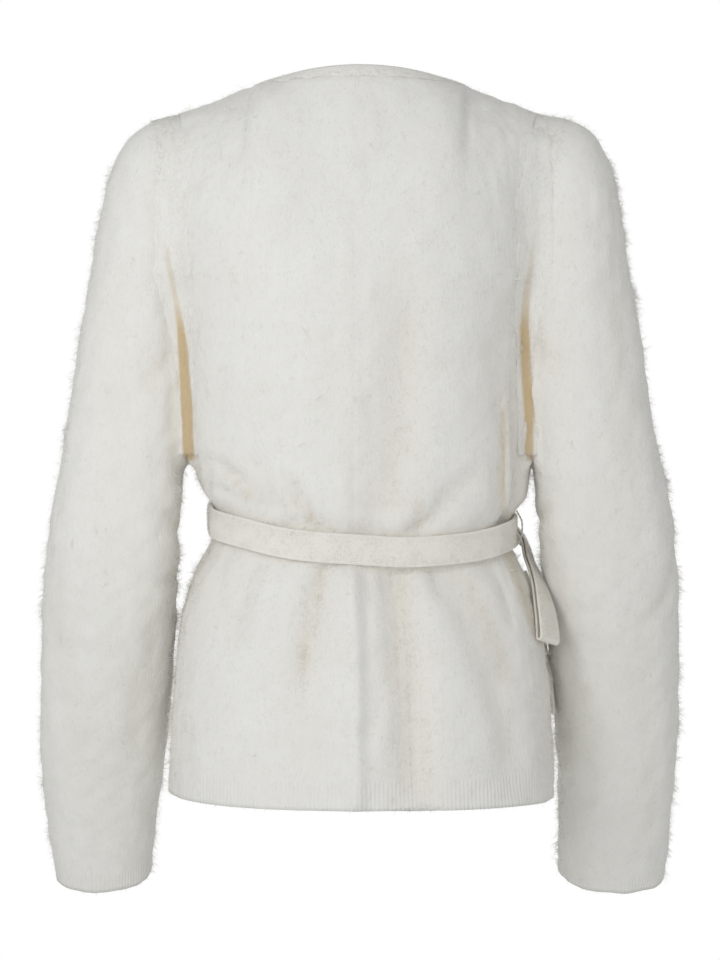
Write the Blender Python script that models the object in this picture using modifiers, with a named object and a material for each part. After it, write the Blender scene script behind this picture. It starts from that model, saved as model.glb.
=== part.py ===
"""A wrap cardigan in brushed knit, filled out and tied.

The pieces are a back, two fronts that wrap over each other, two set-in sleeves, an edge band in
three lengths (back neck and both front edges), a tie belt with its knot, two bow loops and two
ends, and two thread keepers for the belt at the side seams.

Metres, +Z up. The front faces -Y and the wearer's left side is at +X. The origin is where the
wearer holds the cardigan up: the middle of the neck opening, level with the tops of the shoulders.
Every panel is a wall of cloth worked out from the short tables below.
"""

import math

import bmesh
import bpy
import numpy as np

# ---------------------------------------------------------------- driving sizes, in metres
WALL = 0.0024  # thickness of the knit
SEAM = 0.0003  # gap at every seam
Z_HEM = -0.5690  # level of the hem
Z_ARM = -0.1500  # bottom of the armholes
W_ARM = 0.70  # share of a panel's rows that lie below the armholes
NECK_X = 0.0860  # half width of the neck opening at the shoulder seams
NECK_Z = -0.0007  # height of the shoulder seams at the neck
NECK_BACK = 0.0660  # how far the back neck lies behind the shoulder seams
SHOULDER_X = 0.1460  # half width at the ends of the shoulder seams
SHOULDER_Y = -0.0040  # where the shoulder seams lie, front to back
SHOULDER_SLOPE = 0.365  # fall of the shoulder seams for each metre outwards
SLEEVE_SQUARE = 2.25  # squareness of the sleeves' sections
ARMHOLE_TURN = 38.0  # degrees by which the top of the armhole cuts into the chest ring
LAP = 0.0050  # how far the outer front lies off the inner one
BAND = 0.0125  # width of the edge band
BELT_WIDTH = 0.0240
BELT_THICK = 0.0034
BELT_CLEAR = 0.0006  # between the belt and the cloth under it
KEEPER_R = 0.0008  # radius of a thread keeper

# ---------------------------------------------------------------- tables
# Rings of the body: height, middle, half width, depth behind and before the side seams, squareness
BODY_COLUMNS = ("z", "middle", "half", "back", "front", "square")
BODY = (
    (-0.569, -0.0015, 0.1565, 0.118, 0.120, 2.40),
    (-0.530, -0.0015, 0.1550, 0.117, 0.118, 2.35),
    (-0.490, -0.0015, 0.1525, 0.115, 0.115, 2.30),
    (-0.455, -0.0010, 0.1485, 0.111, 0.112, 2.25),
    (-0.430, -0.0010, 0.1450, 0.108, 0.109, 2.25),
    (-0.407, -0.0015, 0.1385, 0.103, 0.105, 2.25),
    (-0.390, -0.0020, 0.1315, 0.098, 0.100, 2.25),
    (-0.376, -0.0025, 0.1240, 0.093, 0.095, 2.25),
    (-0.364, -0.0025, 0.1195, 0.0895, 0.0905, 2.25),
    (-0.352, -0.0025, 0.1187, 0.0885, 0.0890, 2.25),
    (-0.340, -0.0025, 0.1205, 0.0900, 0.0905, 2.25),
    (-0.326, -0.0035, 0.1310, 0.0955, 0.0965, 2.25),
    (-0.310, -0.0020, 0.1345, 0.0985, 0.1015, 2.30),
    (-0.285, 0.0000, 0.1370, 0.1000, 0.1060, 2.30),
    (-0.250, 0.0020, 0.1365, 0.1025, 0.1130, 2.35),
    (-0.210, 0.0045, 0.1365, 0.1050, 0.1180, 2.40),
    (-0.172, 0.0050, 0.1390, 0.1070, 0.1190, 2.40),
    (-0.150, 0.0055, 0.1465, 0.1070, 0.1180, 2.40),
)
# Height of the belt's middle line: g runs round the body, 0 at the left side seam, 1 at the middle
# of the back, 2 at the right side seam and 3 at the middle of the front
BELT_COLUMNS = ("g", "z")
BELT = (
    (0.00, -0.3495),
    (0.35, -0.3545),
    (0.70, -0.3640),
    (1.00, -0.3675),
    (1.20, -0.3695),
    (1.50, -0.3670),
    (1.80, -0.3605),
    (2.00, -0.3575),
    (2.50, -0.3540),
    (3.00, -0.3500),
    (3.50, -0.3480),
    (4.00, -0.3495),
)
# Free edge of a front: how far past the middle it still is on its own side at each height
EDGE_COLUMNS = ("z", "outer", "inner")
EDGE = (
    (-0.569, -0.1120, -0.1020),
    (-0.500, -0.1080, -0.0980),
    (-0.420, -0.1020, -0.0920),
    (-0.380, -0.0960, -0.0880),
    (-0.352, -0.0900, -0.0840),
    (-0.330, -0.0770, -0.0730),
    (-0.300, -0.0570, -0.0560),
    (-0.250, -0.0240, -0.0240),
    (-0.200, 0.0050, 0.0050),
    (-0.150, 0.0300, 0.0300),
    (-0.100, 0.0520, 0.0520),
    (-0.050, 0.0715, 0.0715),
    (-0.020, 0.0810, 0.0810),
    (NECK_Z, NECK_X, NECK_X),
    (0.030, NECK_X, NECK_X),
)
# The hem is a little lower at the right side: how far below its level at each place round the body
HEM_COLUMNS = ("g", "drop")
HEM = (
    (0.00, 0.0000),
    (1.00, 0.0006),
    (1.50, 0.0020),
    (1.85, 0.0040),
    (2.10, 0.0040),
    (3.00, 0.0010),
    (4.00, 0.0000),
)
# Large folds of the body. g is the place round the body at the top, middle and bottom of the fold,
# reach is its half width, rise is how far it stands out (a trough is below zero), and fade_up and
# fade_down are the lengths in which it dies away at its ends.
FOLD_COLUMNS = ("z_top", "z_low", "g_top", "g_mid", "g_low", "reach", "rise", "fade_up", "fade_down")
FOLDS = (
    # the back above the belt
    (-0.150, -0.352, 1.140, 1.145, 1.030, 0.021, -0.0040, 0.060, 0.020),
    (-0.285, -0.345, 0.520, 0.560, 0.640, 0.011, -0.0040, 0.020, 0.015),
    (-0.300, -0.352, 1.420, 1.350, 1.250, 0.011, -0.0040, 0.025, 0.012),
    (-0.215, -0.350, 1.740, 1.760, 1.770, 0.011, -0.0060, 0.050, 0.015),
    # the back below the belt
    (-0.372, -0.500, 0.860, 0.815, 0.790, 0.012, -0.0040, 0.015, 0.070),
    (-0.372, -0.569, 0.965, 0.975, 0.985, 0.009, 0.0050, 0.020, 0.001),
    (-0.374, -0.569, 1.130, 1.165, 1.195, 0.015, -0.0075, 0.015, 0.001),
    (-0.374, -0.520, 1.330, 1.480, 1.560, 0.013, -0.0050, 0.015, 0.060),
    # the fronts above the belt
    (-0.240, -0.345, 2.700, 2.560, 2.420, 0.014, -0.0040, 0.050, 0.015),
    (-0.230, -0.345, 3.300, 3.420, 3.550, 0.014, -0.0040, 0.050, 0.015),
    # the fronts below the belt
    (-0.360, -0.569, 2.720, 2.640, 2.600, 0.020, -0.0050, 0.020, 0.001),
    (-0.358, -0.569, 3.100, 3.120, 3.140, 0.024, -0.0050, 0.030, 0.001),
    (-0.356, -0.540, 3.480, 3.520, 3.560, 0.018, -0.0045, 0.020, 0.060),
)
# Sections of a sleeve, from just past the armhole to the cuff: the outer and the inner point of the
# section as seen from behind, its half depth, and where its middle lies front to back
SLEEVE_COLUMNS = ("out_x", "out_z", "in_x", "in_z", "deep", "y")
SLEEVE_LEFT = (
    (0.1610, -0.0268, 0.1560, -0.1560, 0.0455, 0.000),
    (0.1770, -0.0345, 0.1525, -0.1660, 0.0480, 0.000),
    (0.1915, -0.0500, 0.1475, -0.1780, 0.0495, 0.000),
    (0.2025, -0.0770, 0.1445, -0.1920, 0.0500, -0.001),
    (0.2105, -0.1110, 0.1425, -0.2100, 0.0500, -0.001),
    (0.2175, -0.1500, 0.1408, -0.2320, 0.0490, -0.002),
    (0.2255, -0.1960, 0.1397, -0.2580, 0.0480, -0.002),
    (0.2330, -0.2440, 0.1397, -0.2840, 0.0480, -0.002),
    (0.2400, -0.2900, 0.1432, -0.3100, 0.0480, -0.002),
    (0.2495, -0.3400, 0.1460, -0.3500, 0.0475, -0.003),
    (0.2565, -0.3900, 0.1485, -0.3930, 0.0470, -0.012),
    (0.2610, -0.4400, 0.1515, -0.4400, 0.0460, -0.029),
    (0.2645, -0.4950, 0.1560, -0.4930, 0.0450, -0.050),
    (0.2670, -0.5450, 0.1615, -0.5420, 0.0435, -0.069),
    (0.2650, -0.5920, 0.1690, -0.5890, 0.0420, -0.087),
    (0.2590, -0.6570, 0.1775, -0.6540, 0.0395, -0.111),
)
SLEEVE_RIGHT = (
    (0.1640, -0.0268, 0.1450, -0.1560, 0.0455, 0.000),
    (0.1810, -0.0340, 0.1415, -0.1660, 0.0480, 0.002),
    (0.1945, -0.0500, 0.1385, -0.1780, 0.0495, 0.004),
    (0.2045, -0.0770, 0.1360, -0.1920, 0.0500, 0.006),
    (0.2110, -0.1110, 0.1345, -0.2100, 0.0500, 0.008),
    (0.2165, -0.1500, 0.1345, -0.2320, 0.0490, 0.009),
    (0.2255, -0.1960, 0.1365, -0.2580, 0.0480, 0.010),
    (0.2320, -0.2440, 0.1388, -0.2840, 0.0480, 0.009),
    (0.2400, -0.2900, 0.1402, -0.3100, 0.0480, 0.007),
    (0.2520, -0.3400, 0.1435, -0.3500, 0.0475, 0.001),
    (0.2585, -0.3900, 0.1490, -0.3930, 0.0470, -0.010),
    (0.2615, -0.4400, 0.1535, -0.4400, 0.0460, -0.027),
    (0.2635, -0.4950, 0.1595, -0.4930, 0.0450, -0.048),
    (0.2645, -0.5450, 0.1640, -0.5420, 0.0435, -0.067),
    (0.2625, -0.5920, 0.1670, -0.5890, 0.0420, -0.085),
    (0.2585, -0.6570, 0.1690, -0.6540, 0.0395, -0.109),
)


def column(table, columns, name):
    return np.array([row[columns.index(name)] for row in table], float)


def smooth(xs, ys, x):
    """A smooth curve through the points of a table that never overshoots them."""
    h = np.diff(xs)
    d = np.diff(ys) / h
    m = np.zeros(len(xs))
    same = d[:-1] * d[1:] > 0
    w1, w2 = 2 * h[1:] + h[:-1], h[1:] + 2 * h[:-1]
    inner = np.zeros(len(d) - 1)
    inner[same] = (w1 + w2)[same] / (w1[same] / d[:-1][same] + w2[same] / d[1:][same])
    m[1:-1] = inner
    m[0], m[-1] = d[0], d[-1]
    x = np.clip(np.asarray(x, float), xs[0], xs[-1])
    i = np.clip(np.searchsorted(xs, x, side="right") - 1, 0, len(h) - 1)
    t = (x - xs[i]) / h[i]
    return (
        (1 + 2 * t) * (1 - t) ** 2 * ys[i]
        + t * (1 - t) ** 2 * h[i] * m[i]
        + t * t * (3 - 2 * t) * ys[i + 1]
        + t * t * (t - 1) * h[i] * m[i + 1]
    )


def ease(x):
    x = np.clip(x, 0.0, 1.0)
    return x * x * (3 - 2 * x)


def unit(v):
    return v / np.maximum(np.linalg.norm(v, axis=-1, keepdims=True), 1e-12)


# ---------------------------------------------------------------- the body's surface
BODY_Z = column(BODY, BODY_COLUMNS, "z")
BELT_G = column(BELT, BELT_COLUMNS, "g")
BELT_Z = column(BELT, BELT_COLUMNS, "z")
WAIST_Z = -0.352


def belt_z(g):
    return smooth(BELT_G, BELT_Z, np.mod(g, 4.0))


def ring_value(name, z):
    return smooth(BODY_Z, column(BODY, BODY_COLUMNS, name), z)


def shoulder_line(x, side):
    """(y, z) of the top of the body above x: the shoulder seam, and inside it the neck."""
    off = np.abs(x)
    y = np.full_like(off, SHOULDER_Y)
    z = NECK_Z - SHOULDER_SLOPE * (off - NECK_X)
    inside = off < NECK_X
    share = np.clip(off / NECK_X, 0, 1)
    if side > 0:
        y = np.where(inside, SHOULDER_Y + NECK_BACK * np.sqrt(1 - share**2), y)
        z = np.where(inside, NECK_Z + 0.0045 * (1 - share**2), z)
    else:
        dip = (1 + np.cos(np.pi * share)) / 2
        into = np.maximum(NECK_X - off, 0)
        y = np.where(inside, SHOULDER_Y - 0.055 * dip, y)
        z = np.where(
            inside, NECK_Z - 0.05 * dip + 0.36 * into * np.exp(-((into / 0.02) ** 2)), z
        )
    return y, z


def body_row(w, side, samples=241):
    """Points of one row across a half of the body, evenly from the left side (s = 1) to the right."""
    turn = np.linspace(0, np.pi, samples)
    if w <= W_ARM:
        z = Z_HEM + (Z_ARM - Z_HEM) * w / W_ARM
        g = turn / np.pi * 2 if side > 0 else 4 - turn / np.pi * 2
        drop = belt_z(g) - WAIST_Z
        near = np.exp(-(((z - WAIST_Z - drop) / 0.07) ** 2))
        at = z - drop * near
        n = ring_value("square", at)
        low = smooth(column(HEM, HEM_COLUMNS, "g"), column(HEM, HEM_COLUMNS, "drop"), g)
        z = z - low * ease((-0.47 - z) / 0.10)
        cos, sin = np.cos(turn), np.sin(turn)
        x = ring_value("middle", at) + ring_value("half", at) * np.sign(cos) * np.abs(cos) ** (2 / n)
        y = side * ring_value("back" if side > 0 else "front", at) * np.abs(sin) ** (2 / n)
        return np.stack([x, y, np.zeros(samples) + z], axis=1)
    lift = (w - W_ARM) / (1 - W_ARM) * math.pi / 2
    n = float(ring_value("square", Z_ARM))
    start = math.radians(ARMHOLE_TURN) * math.sin(lift) ** 0.7
    wide = float(ring_value("half", Z_ARM))
    across = wide + (0.1455 - wide) * math.sin(lift) - 0.006 * math.sin(2 * lift)
    across += (SHOULDER_X - 0.1455) * math.sin(lift)
    angle = start + (math.pi - 2 * start) * turn / np.pi
    cos, sin = np.cos(angle), np.sin(angle)
    x = across / math.cos(start) ** (2 / n) * np.sign(cos) * np.abs(cos) ** (2 / n)
    top_y, top_z = shoulder_line(x, side)
    deep = float(ring_value("back" if side > 0 else "front", Z_ARM))
    rise = 1 + 0.65 * ease(1.25 * (1 - np.abs(x) / NECK_X))
    y = top_y + (side * deep * sin ** (2 / n) - top_y) * math.cos(lift) ** rise
    z = Z_ARM + (top_z - Z_ARM) * math.sin(lift) ** rise
    lean = float(ring_value("middle", Z_ARM)) * math.cos(lift)
    return np.stack([x + lean, y, z], axis=1)


def body_base(ws, ss, side):
    """Grid of points of the body's outer face before folds: rows ws, and for each row its own ss."""
    rows = []
    for w, s in zip(ws, ss):
        row = body_row(w, side)
        length = np.concatenate([[0], np.cumsum(np.linalg.norm(np.diff(row, axis=0), axis=1))])
        at = (1 - np.asarray(s)) / 2 * length[-1]
        rows.append(np.stack([np.interp(at, length, row[:, k]) for k in range(3)], axis=1))
    return np.array(rows)


def grid_normals(points, closed=False):
    if closed:
        along = (np.roll(points, -1, axis=1) - np.roll(points, 1, axis=1)) / 2
    else:
        along = np.gradient(points, axis=1)
    up = np.gradient(points, axis=0)
    return unit(np.cross(along, up))


def fold_height(g, z, folds, half_round):
    """How far the folds move the cloth out at (g, z). half_round is the length of one unit of g."""
    total = np.zeros(np.broadcast(g, z).shape)
    for row in folds:
        f = dict(zip(FOLD_COLUMNS, row))
        along = np.clip((f["z_top"] - z) / (f["z_top"] - f["z_low"]), 0, 1)
        centre = (
            f["g_top"] * (1 - along) * (1 - 2 * along)
            + f["g_mid"] * 4 * along * (1 - along)
            + f["g_low"] * along * (2 * along - 1)
        )
        away = np.mod(g - centre + 2, 4) - 2
        shape = np.exp(-((away * half_round / f["reach"]) ** 2))
        fade = ease((f["z_top"] - z) / f["fade_up"]) * ease((z - f["z_low"]) / f["fade_down"] + 1)
        total = total + f["rise"] * shape * fade
    return total


def body_grid(ws, ss, side, out=0.0):
    """Outer face of a body panel with its large folds, moved out by out (a number or a grid)."""
    points = body_base(ws, ss, side)
    spread = 0.004
    sa = [np.clip(np.asarray(s) - spread, -1, 1) for s in ss]
    sb = [np.clip(np.asarray(s) + spread, -1, 1) for s in ss]
    wa = np.clip(np.asarray(ws) - 0.004, 0, 1)
    wb = np.clip(np.asarray(ws) + 0.004, 0, 1)
    around = body_base(ws, sa, side) - body_base(ws, sb, side)
    upward = body_base(wb, ss, side) - body_base(wa, ss, side)
    normals = unit(np.cross(around, upward)) * side
    normals[np.einsum("ijk,ijk->ij", normals, points * [1, 1, 0]) < -0.02] *= -1
    s = np.array([np.asarray(one, float) for one in ss])
    g = 1 - s if side > 0 else 3 + s
    height = fold_height(g, points[..., 2], FOLDS, 0.205)
    calm = ease((1 - np.abs(s)) / 0.06)  # the folds stop at the side seams and armholes
    return points + normals * (height * calm + out)[..., None], normals


# ---------------------------------------------------------------- making meshes
def collection():
    made = bpy.data.collections.new("wrap_cardigan")
    bpy.context.scene.collection.children.link(made)
    return made


def material(name, colour, rough, sheen=0.0):
    made = bpy.data.materials.new(name)
    made.use_nodes = True
    shader = made.node_tree.nodes["Principled BSDF"]
    shader.inputs["Base Color"].default_value = (*colour, 1)
    shader.inputs["Roughness"].default_value = rough
    shader.inputs["Metallic"].default_value = 0.0
    shader.inputs["Sheen Weight"].default_value = sheen
    return made


def add_mesh(name, verts, faces, mat, into):
    mesh = bpy.data.meshes.new(name)
    mesh.from_pydata([tuple(v) for v in verts], [], faces)
    work = bmesh.new()
    work.from_mesh(mesh)
    bmesh.ops.recalc_face_normals(work, faces=work.faces)
    if work.calc_volume(signed=True) < 0:
        bmesh.ops.reverse_faces(work, faces=work.faces)
    work.to_mesh(mesh)
    work.free()
    mesh.shade_smooth()
    mesh.set_sharp_from_angle(angle=math.radians(50))
    mesh.materials.append(mat)
    made = bpy.data.objects.new(name, mesh)
    into.objects.link(made)
    return made


def wall(name, outer, inner, mat, into, closed=False, ring=False):
    """A wall between two grids of points. closed joins its last column to its first, ring also
    joins its last row to its first."""
    rows, cols = outer.shape[:2]
    verts = np.concatenate([outer.reshape(-1, 3), inner.reshape(-1, 3)])
    base = rows * cols
    faces = []
    for r in range(rows if ring else rows - 1):
        r2 = (r + 1) % rows
        for c in range(cols if closed else cols - 1):
            c2 = (c + 1) % cols
            a, b, d, e = r * cols + c, r * cols + c2, r2 * cols + c2, r2 * cols + c
            faces.append((a, b, d, e))
            faces.append((base + a, base + e, base + d, base + b))
    if not ring:
        for r in (0, rows - 1):
            for c in range(cols if closed else cols - 1):
                a, b = r * cols + c, r * cols + (c + 1) % cols
                faces.append((a, base + a, base + b, b))
    if not closed:
        for c in (0, cols - 1):
            for r in range(rows if ring else rows - 1):
                a, b = r * cols + c, (r + 1) % rows * cols + c
                faces.append((a, b, base + b, base + a))
    return add_mesh(name, verts, faces, mat, into)


def strap(name, path, across, width, thick, mat, into, crown=0.0, ring=False):
    """A flat strap: a section of six points carried along a path. across is the direction of its
    width at each point of the path, width is one number or one for each point, and crown makes
    its faces rounder."""
    path, across = np.asarray(path), unit(np.asarray(across))
    if ring:
        along = unit(np.roll(path, -1, axis=0) - np.roll(path, 1, axis=0))
    else:
        along = unit(np.gradient(path, axis=0))
    across = unit(across - np.einsum("ij,ij->i", across, along)[:, None] * along)
    face = np.cross(along, across)
    t = thick / 2
    section = ((1, t * 0.45), (0, t + crown), (-1, t * 0.45), (-1, -t * 0.45), (0, -t), (1, -t * 0.45))
    verts, count = [], len(section)
    for p, a, f, half in zip(path, across, face, np.zeros(len(path)) + np.asarray(width) / 2):
        verts += [p + a * (u * half) + f * v for u, v in section]
    faces = []
    stations = len(path)
    for i in range(stations if ring else stations - 1):
        j = (i + 1) % stations
        for k in range(count):
            m = (k + 1) % count
            faces.append((i * count + k, i * count + m, j * count + m, j * count + k))
    if not ring:
        faces.append(tuple(range(count)))
        faces.append(tuple(range((stations - 1) * count, stations * count)))
    return add_mesh(name, verts, faces, mat, into)


# ---------------------------------------------------------------- the panels
def body_rows():
    """Shares up a body panel: closer together at the waist, even round the shoulders."""
    heights = (-0.569, -0.540, -0.505, -0.470, -0.440, -0.415, -0.395, -0.379, -0.365, -0.351,
               -0.337, -0.318, -0.285, -0.240, -0.195, -0.150)
    low = [(z - Z_HEM) / (Z_ARM - Z_HEM) * W_ARM for z in heights]
    high = [W_ARM + (1 - W_ARM) * i / ARM_ROWS for i in range(1, ARM_ROWS + 1)]
    return np.array(low + high)


NECK_COLS = 5  # columns of the back from its middle to the end of the neck opening
SHOULDER_COLS = 7  # and from there to its side
ARM_ROWS = 8  # rows between the armpit and the shoulder, and half the columns of a sleeve


def lap(s, z=-0.5):
    """How far the outer front stands off: LAP where it covers the inner one, none at its side seam
    and at the shoulder."""
    return LAP * ease((1 - s) / 0.16) * ease((-0.05 - z) / 0.10)


def row_heights(ws, shares, side):
    return body_base(ws, shares, side)[..., 2]


def edge_share(ws, which):
    """For each row of a front, the share s at which its free edge lies, seen for a left front."""
    found = []
    zs = column(EDGE, EDGE_COLUMNS, "z")
    xs = column(EDGE, EDGE_COLUMNS, which)
    for w in ws:
        s = np.linspace(-1, 1, 401)
        points = body_base([w], [s], -1)[0]
        x = points[:, 0] if which == "outer" else -points[::-1, 0]
        z = points[:, 2] if which == "outer" else points[::-1, 2]
        gap = x - smooth(zs, xs, z)
        found.append(float(np.interp(0.0, gap, s)))
    return np.array(found)


def seam_gap(points, side):
    """Moves the side seams and the shoulder seams of a panel half a seam gap from the other panel."""
    points[..., 1] += side * SEAM * 0.6


def make_back(mat, into):
    ws = body_rows()
    neck = edge_share([1.0], "outer")[0]
    half = np.concatenate([np.linspace(0, neck, NECK_COLS + 1)[:-1], np.linspace(neck, 1, SHOULDER_COLS + 1)])
    cols = np.concatenate([-half[::-1][:-1], half])[::-1]
    outer, normals = body_grid(ws, [cols] * len(ws), 1)
    inner = outer - WALL * normals
    seam_gap(outer, 1)
    seam_gap(inner, 1)
    wall("back", outer, inner, mat, into)
    return outer, inner


def front_columns(ws, which):
    """Shares across a front, from its side seam to its free edge, for each row."""
    edge = edge_share(ws, which)
    return [np.linspace(1, e, FRONT_COLS) for e in edge]


FRONT_COLS = 15


def make_front(which, mat, into):
    ws = body_rows()
    shares = front_columns(ws, which)
    s = np.array(shares)
    if which == "outer":
        outer, normals = body_grid(ws, shares, -1, lap(s, row_heights(ws, shares, -1)))
    else:
        outer, normals = body_grid(ws, [-one for one in shares], -1)
    inner = outer - WALL * normals
    seam_gap(outer, -1)
    seam_gap(inner, -1)
    wall("front_left" if which == "outer" else "front_right", outer, inner, mat, into)
    return outer, inner


def make_front_band(which, mat, into):
    ws = body_rows()
    edge = edge_share(ws, which)
    width = BAND / 0.205
    gap = SEAM / 0.205 * 1.6
    shares = [np.array([e - gap, e - width / 2, e - width]) for e in edge]
    s = np.array(shares)
    if which == "outer":
        outer, normals = body_grid(ws, shares, -1, lap(s, row_heights(ws, shares, -1)))
    else:
        outer, normals = body_grid(ws, [-one for one in shares], -1)
    inner = outer - WALL * normals
    seam_gap(outer, -1)
    seam_gap(inner, -1)
    wall("band_left" if which == "outer" else "band_right", outer, inner, mat, into)


def make_neck_band(mat, into):
    """The length of band on the back neck: it stands up from the neckline and leans in a little."""
    neck = edge_share([1.0], "outer")[0]
    shares = np.linspace(neck, -neck, 2 * NECK_COLS + 1)
    low, normals = body_grid([1.0], [shares], 1)
    low, normals = low[0], normals[0]
    share = np.clip(low[:, 0] / NECK_X, -1, 1)
    round_ = np.sqrt(np.maximum(1 - share**2, 0))
    high = np.stack(
        [
            (NECK_X - BAND * 0.92) * share,
            SHOULDER_Y + (NECK_BACK - 0.0045) * round_,
            low[:, 2] + 0.0036 + 0.0060 * (1 - share**2),
        ],
        axis=1,
    )
    direction = unit(high - low)
    low = low + direction * SEAM * 1.6
    outer = np.stack([low, (low + high) / 2 + [0, 0.0004, 0.0004], high])
    face = grid_normals(outer)
    if face[1, NECK_COLS, 1] < 0:
        face = -face
    face[0] = normals
    inner = outer - WALL * face
    for grid in (outer, inner):
        grid[..., 1] += SEAM * 0.6
    wall("band_neck", outer, inner, mat, into)


# ---------------------------------------------------------------- the sleeves
def armhole(side_x):
    """The armhole as a ring of points: from the shoulder down its back to the armpit, and up its
    front. side_x is 1 for the left sleeve and -1 for the right."""
    ws = [1 - (1 - W_ARM) * i / ARM_ROWS for i in range(ARM_ROWS + 1)]
    back, back_n = body_grid(ws, [np.array([side_x])] * len(ws), 1)
    front, front_n = body_grid(ws, [np.array([side_x])] * len(ws), -1)
    ring = np.concatenate([back[:, 0], front[-2:0:-1, 0]])
    normal = np.concatenate([back_n[:, 0], front_n[-2:0:-1, 0]])
    return ring, unit(normal)


def sleeve_grid(side_x):
    table = SLEEVE_LEFT if side_x > 0 else SLEEVE_RIGHT
    ring, ring_normal = armhole(side_x)
    cols = len(ring)
    turn = np.arange(cols) / cols * 2 * math.pi
    middles = [ring.mean(axis=0)]
    for row in table:
        f = dict(zip(SLEEVE_COLUMNS, row))
        middles.append(
            np.array([side_x * (f["out_x"] + f["in_x"]) / 2, f["y"], (f["out_z"] + f["in_z"]) / 2])
        )
    middles = np.array(middles)
    tangent = unit(np.gradient(middles, axis=0))
    rows = [ring]
    for k, row in enumerate(table, start=1):
        f = dict(zip(SLEEVE_COLUMNS, row))
        reach = np.array([side_x * (f["out_x"] - f["in_x"]) / 2, 0, (f["out_z"] - f["in_z"]) / 2])
        deep = unit(np.array([0.0, 1.0, 0.0]) - tangent[k][1] * tangent[k]) * f["deep"]
        cos, sin = np.cos(turn), np.sin(turn)
        square = 2 / SLEEVE_SQUARE
        out = np.sign(cos) * np.abs(cos) ** square
        back = np.sign(sin) * np.abs(sin) ** square
        rows.append(middles[k] + out[:, None] * reach + back[:, None] * deep)
    points = np.array(rows)
    normals = grid_normals(points, closed=True)
    outward = points - points.mean(axis=1, keepdims=True)
    if np.einsum("ijk,ijk->", normals, outward) < 0:
        normals = -normals
    return points, normals, ring_normal


def make_sleeve(side_x, mat, into):
    points, normals, ring_normal = sleeve_grid(side_x)
    # the rim at the armhole never leans into the body's wall
    ring = points[0]
    along = unit(np.roll(ring, -1, axis=0) - np.roll(ring, 1, axis=0))
    off = unit(np.cross(ring_normal, along))
    if off[0, 0] * side_x < 0:  # off points away from the body's panels, along them
        off = -off
    rim = normals[0]
    into_body = np.maximum(np.einsum("ij,ij->i", rim, off), 0)
    normals[0] = unit(rim - into_body[:, None] * off)
    inner = points - WALL * normals
    shift = off * SEAM * 2.0
    points[0] += shift
    inner[0] += shift
    wall("sleeve_left" if side_x > 0 else "sleeve_right", points, inner, mat, into, closed=True)


# ---------------------------------------------------------------- the belt and what is on it
def around_body(g, z, out):
    """A point off the body's outer face at (g, z) below the armholes, and its outward normal."""
    side = 1 if g <= 2 else -1
    s = 1 - g if side > 0 else g - 3
    w = (z - Z_HEM) / (Z_ARM - Z_HEM) * W_ARM
    flat = 0.012
    def base(sv, wv):
        return body_base([wv], [np.array([sv])], side)[0, 0]
    p = base(s, w)
    a = base(max(s - flat, -1), w) - base(min(s + flat, 1), w)
    up = base(s, min(w + 0.01, 1)) - base(s, max(w - 0.01, 0))
    n = np.cross(a, up) * side
    n = n / np.linalg.norm(n)
    return p + n * out, n


def under_belt(g):
    """How far the cloth under the belt stands off the body's face."""
    if g <= 2:
        return 0.0
    s = g - 3
    stop = -0.62
    if s >= stop:
        return float(lap(np.array(s)))
    return LAP * float(ease((s + 1) / (1 + stop)))


def make_belt(mat, into):
    path, across = [], []
    count = 44
    for i in range(count):
        g = 4 * i / count
        gap = under_belt(g) + BELT_CLEAR + BELT_THICK / 2
        middle = float(belt_z(g))
        high, _ = around_body(g, middle + BELT_WIDTH * 0.4, gap)
        low, _ = around_body(g, middle - BELT_WIDTH * 0.4, gap)
        mid, _ = around_body(g, middle, gap)
        path.append((high + low + mid) / 3 + unit(mid * [1, 1, 0]) * 0.0018)
        across.append([0, 0, 1])
    return strap("belt", path, across, BELT_WIDTH, BELT_THICK, mat, into, crown=0.0004, ring=True)


# Knot, loops and ends lie at the wearer's right front. Each row is a point of a middle line: the
# place round the body, the height and how far it stands off the body's face, and turn, the angle
# in degrees by which the strap's width turns off the level line round the body. A loop's twist is
# the angle in degrees by which its front edge stands further off the body than its back edge.
LINE_COLUMNS = ("g", "z", "out", "turn")
KNOT_G = 2.32
LOOP_COLUMNS = ("g", "z", "out", "turn", "twist")
LOOP_BACK = (
    (2.245, -0.3710, 0.0185, -76.0, 0.0),
    (2.140, -0.3790, 0.0142, -64.0, 5.0),
    (2.040, -0.3900, 0.0086, -47.0, 12.0),
    (1.950, -0.4040, 0.0078, -34.0, 20.0),
    (1.880, -0.4220, 0.0078, -24.0, 25.0),
    (1.835, -0.4440, 0.0078, -18.0, 25.0),
)
LOOP_FRONT = (
    (2.400, -0.3710, 0.0190, 80.0, 0.0),
    (2.490, -0.3770, 0.0180, 62.0, 0.0),
    (2.560, -0.3930, 0.0150, 42.0, 0.0),
    (2.605, -0.4140, 0.0130, 30.0, 0.0),
    (2.635, -0.4360, 0.0120, 22.0, 0.0),
)
END_LONG = (
    (2.365, -0.3850, 0.0100, 8.0),
    (2.385, -0.4120, 0.0085, 10.0),
    (2.400, -0.4450, 0.0082, 10.0),
    (2.405, -0.4850, 0.0082, 8.0),
    (2.400, -0.5200, 0.0082, 6.0),
    (2.390, -0.5480, 0.0085, 4.0),
)
END_SHORT = (
    (2.245, -0.4000, 0.0070, -10.0),
    (2.225, -0.4200, 0.0068, -12.0),
    (2.205, -0.4450, 0.0066, -12.0),
    (2.190, -0.4800, 0.0066, -10.0),
    (2.182, -0.5120, 0.0070, -6.0),
)


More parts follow.
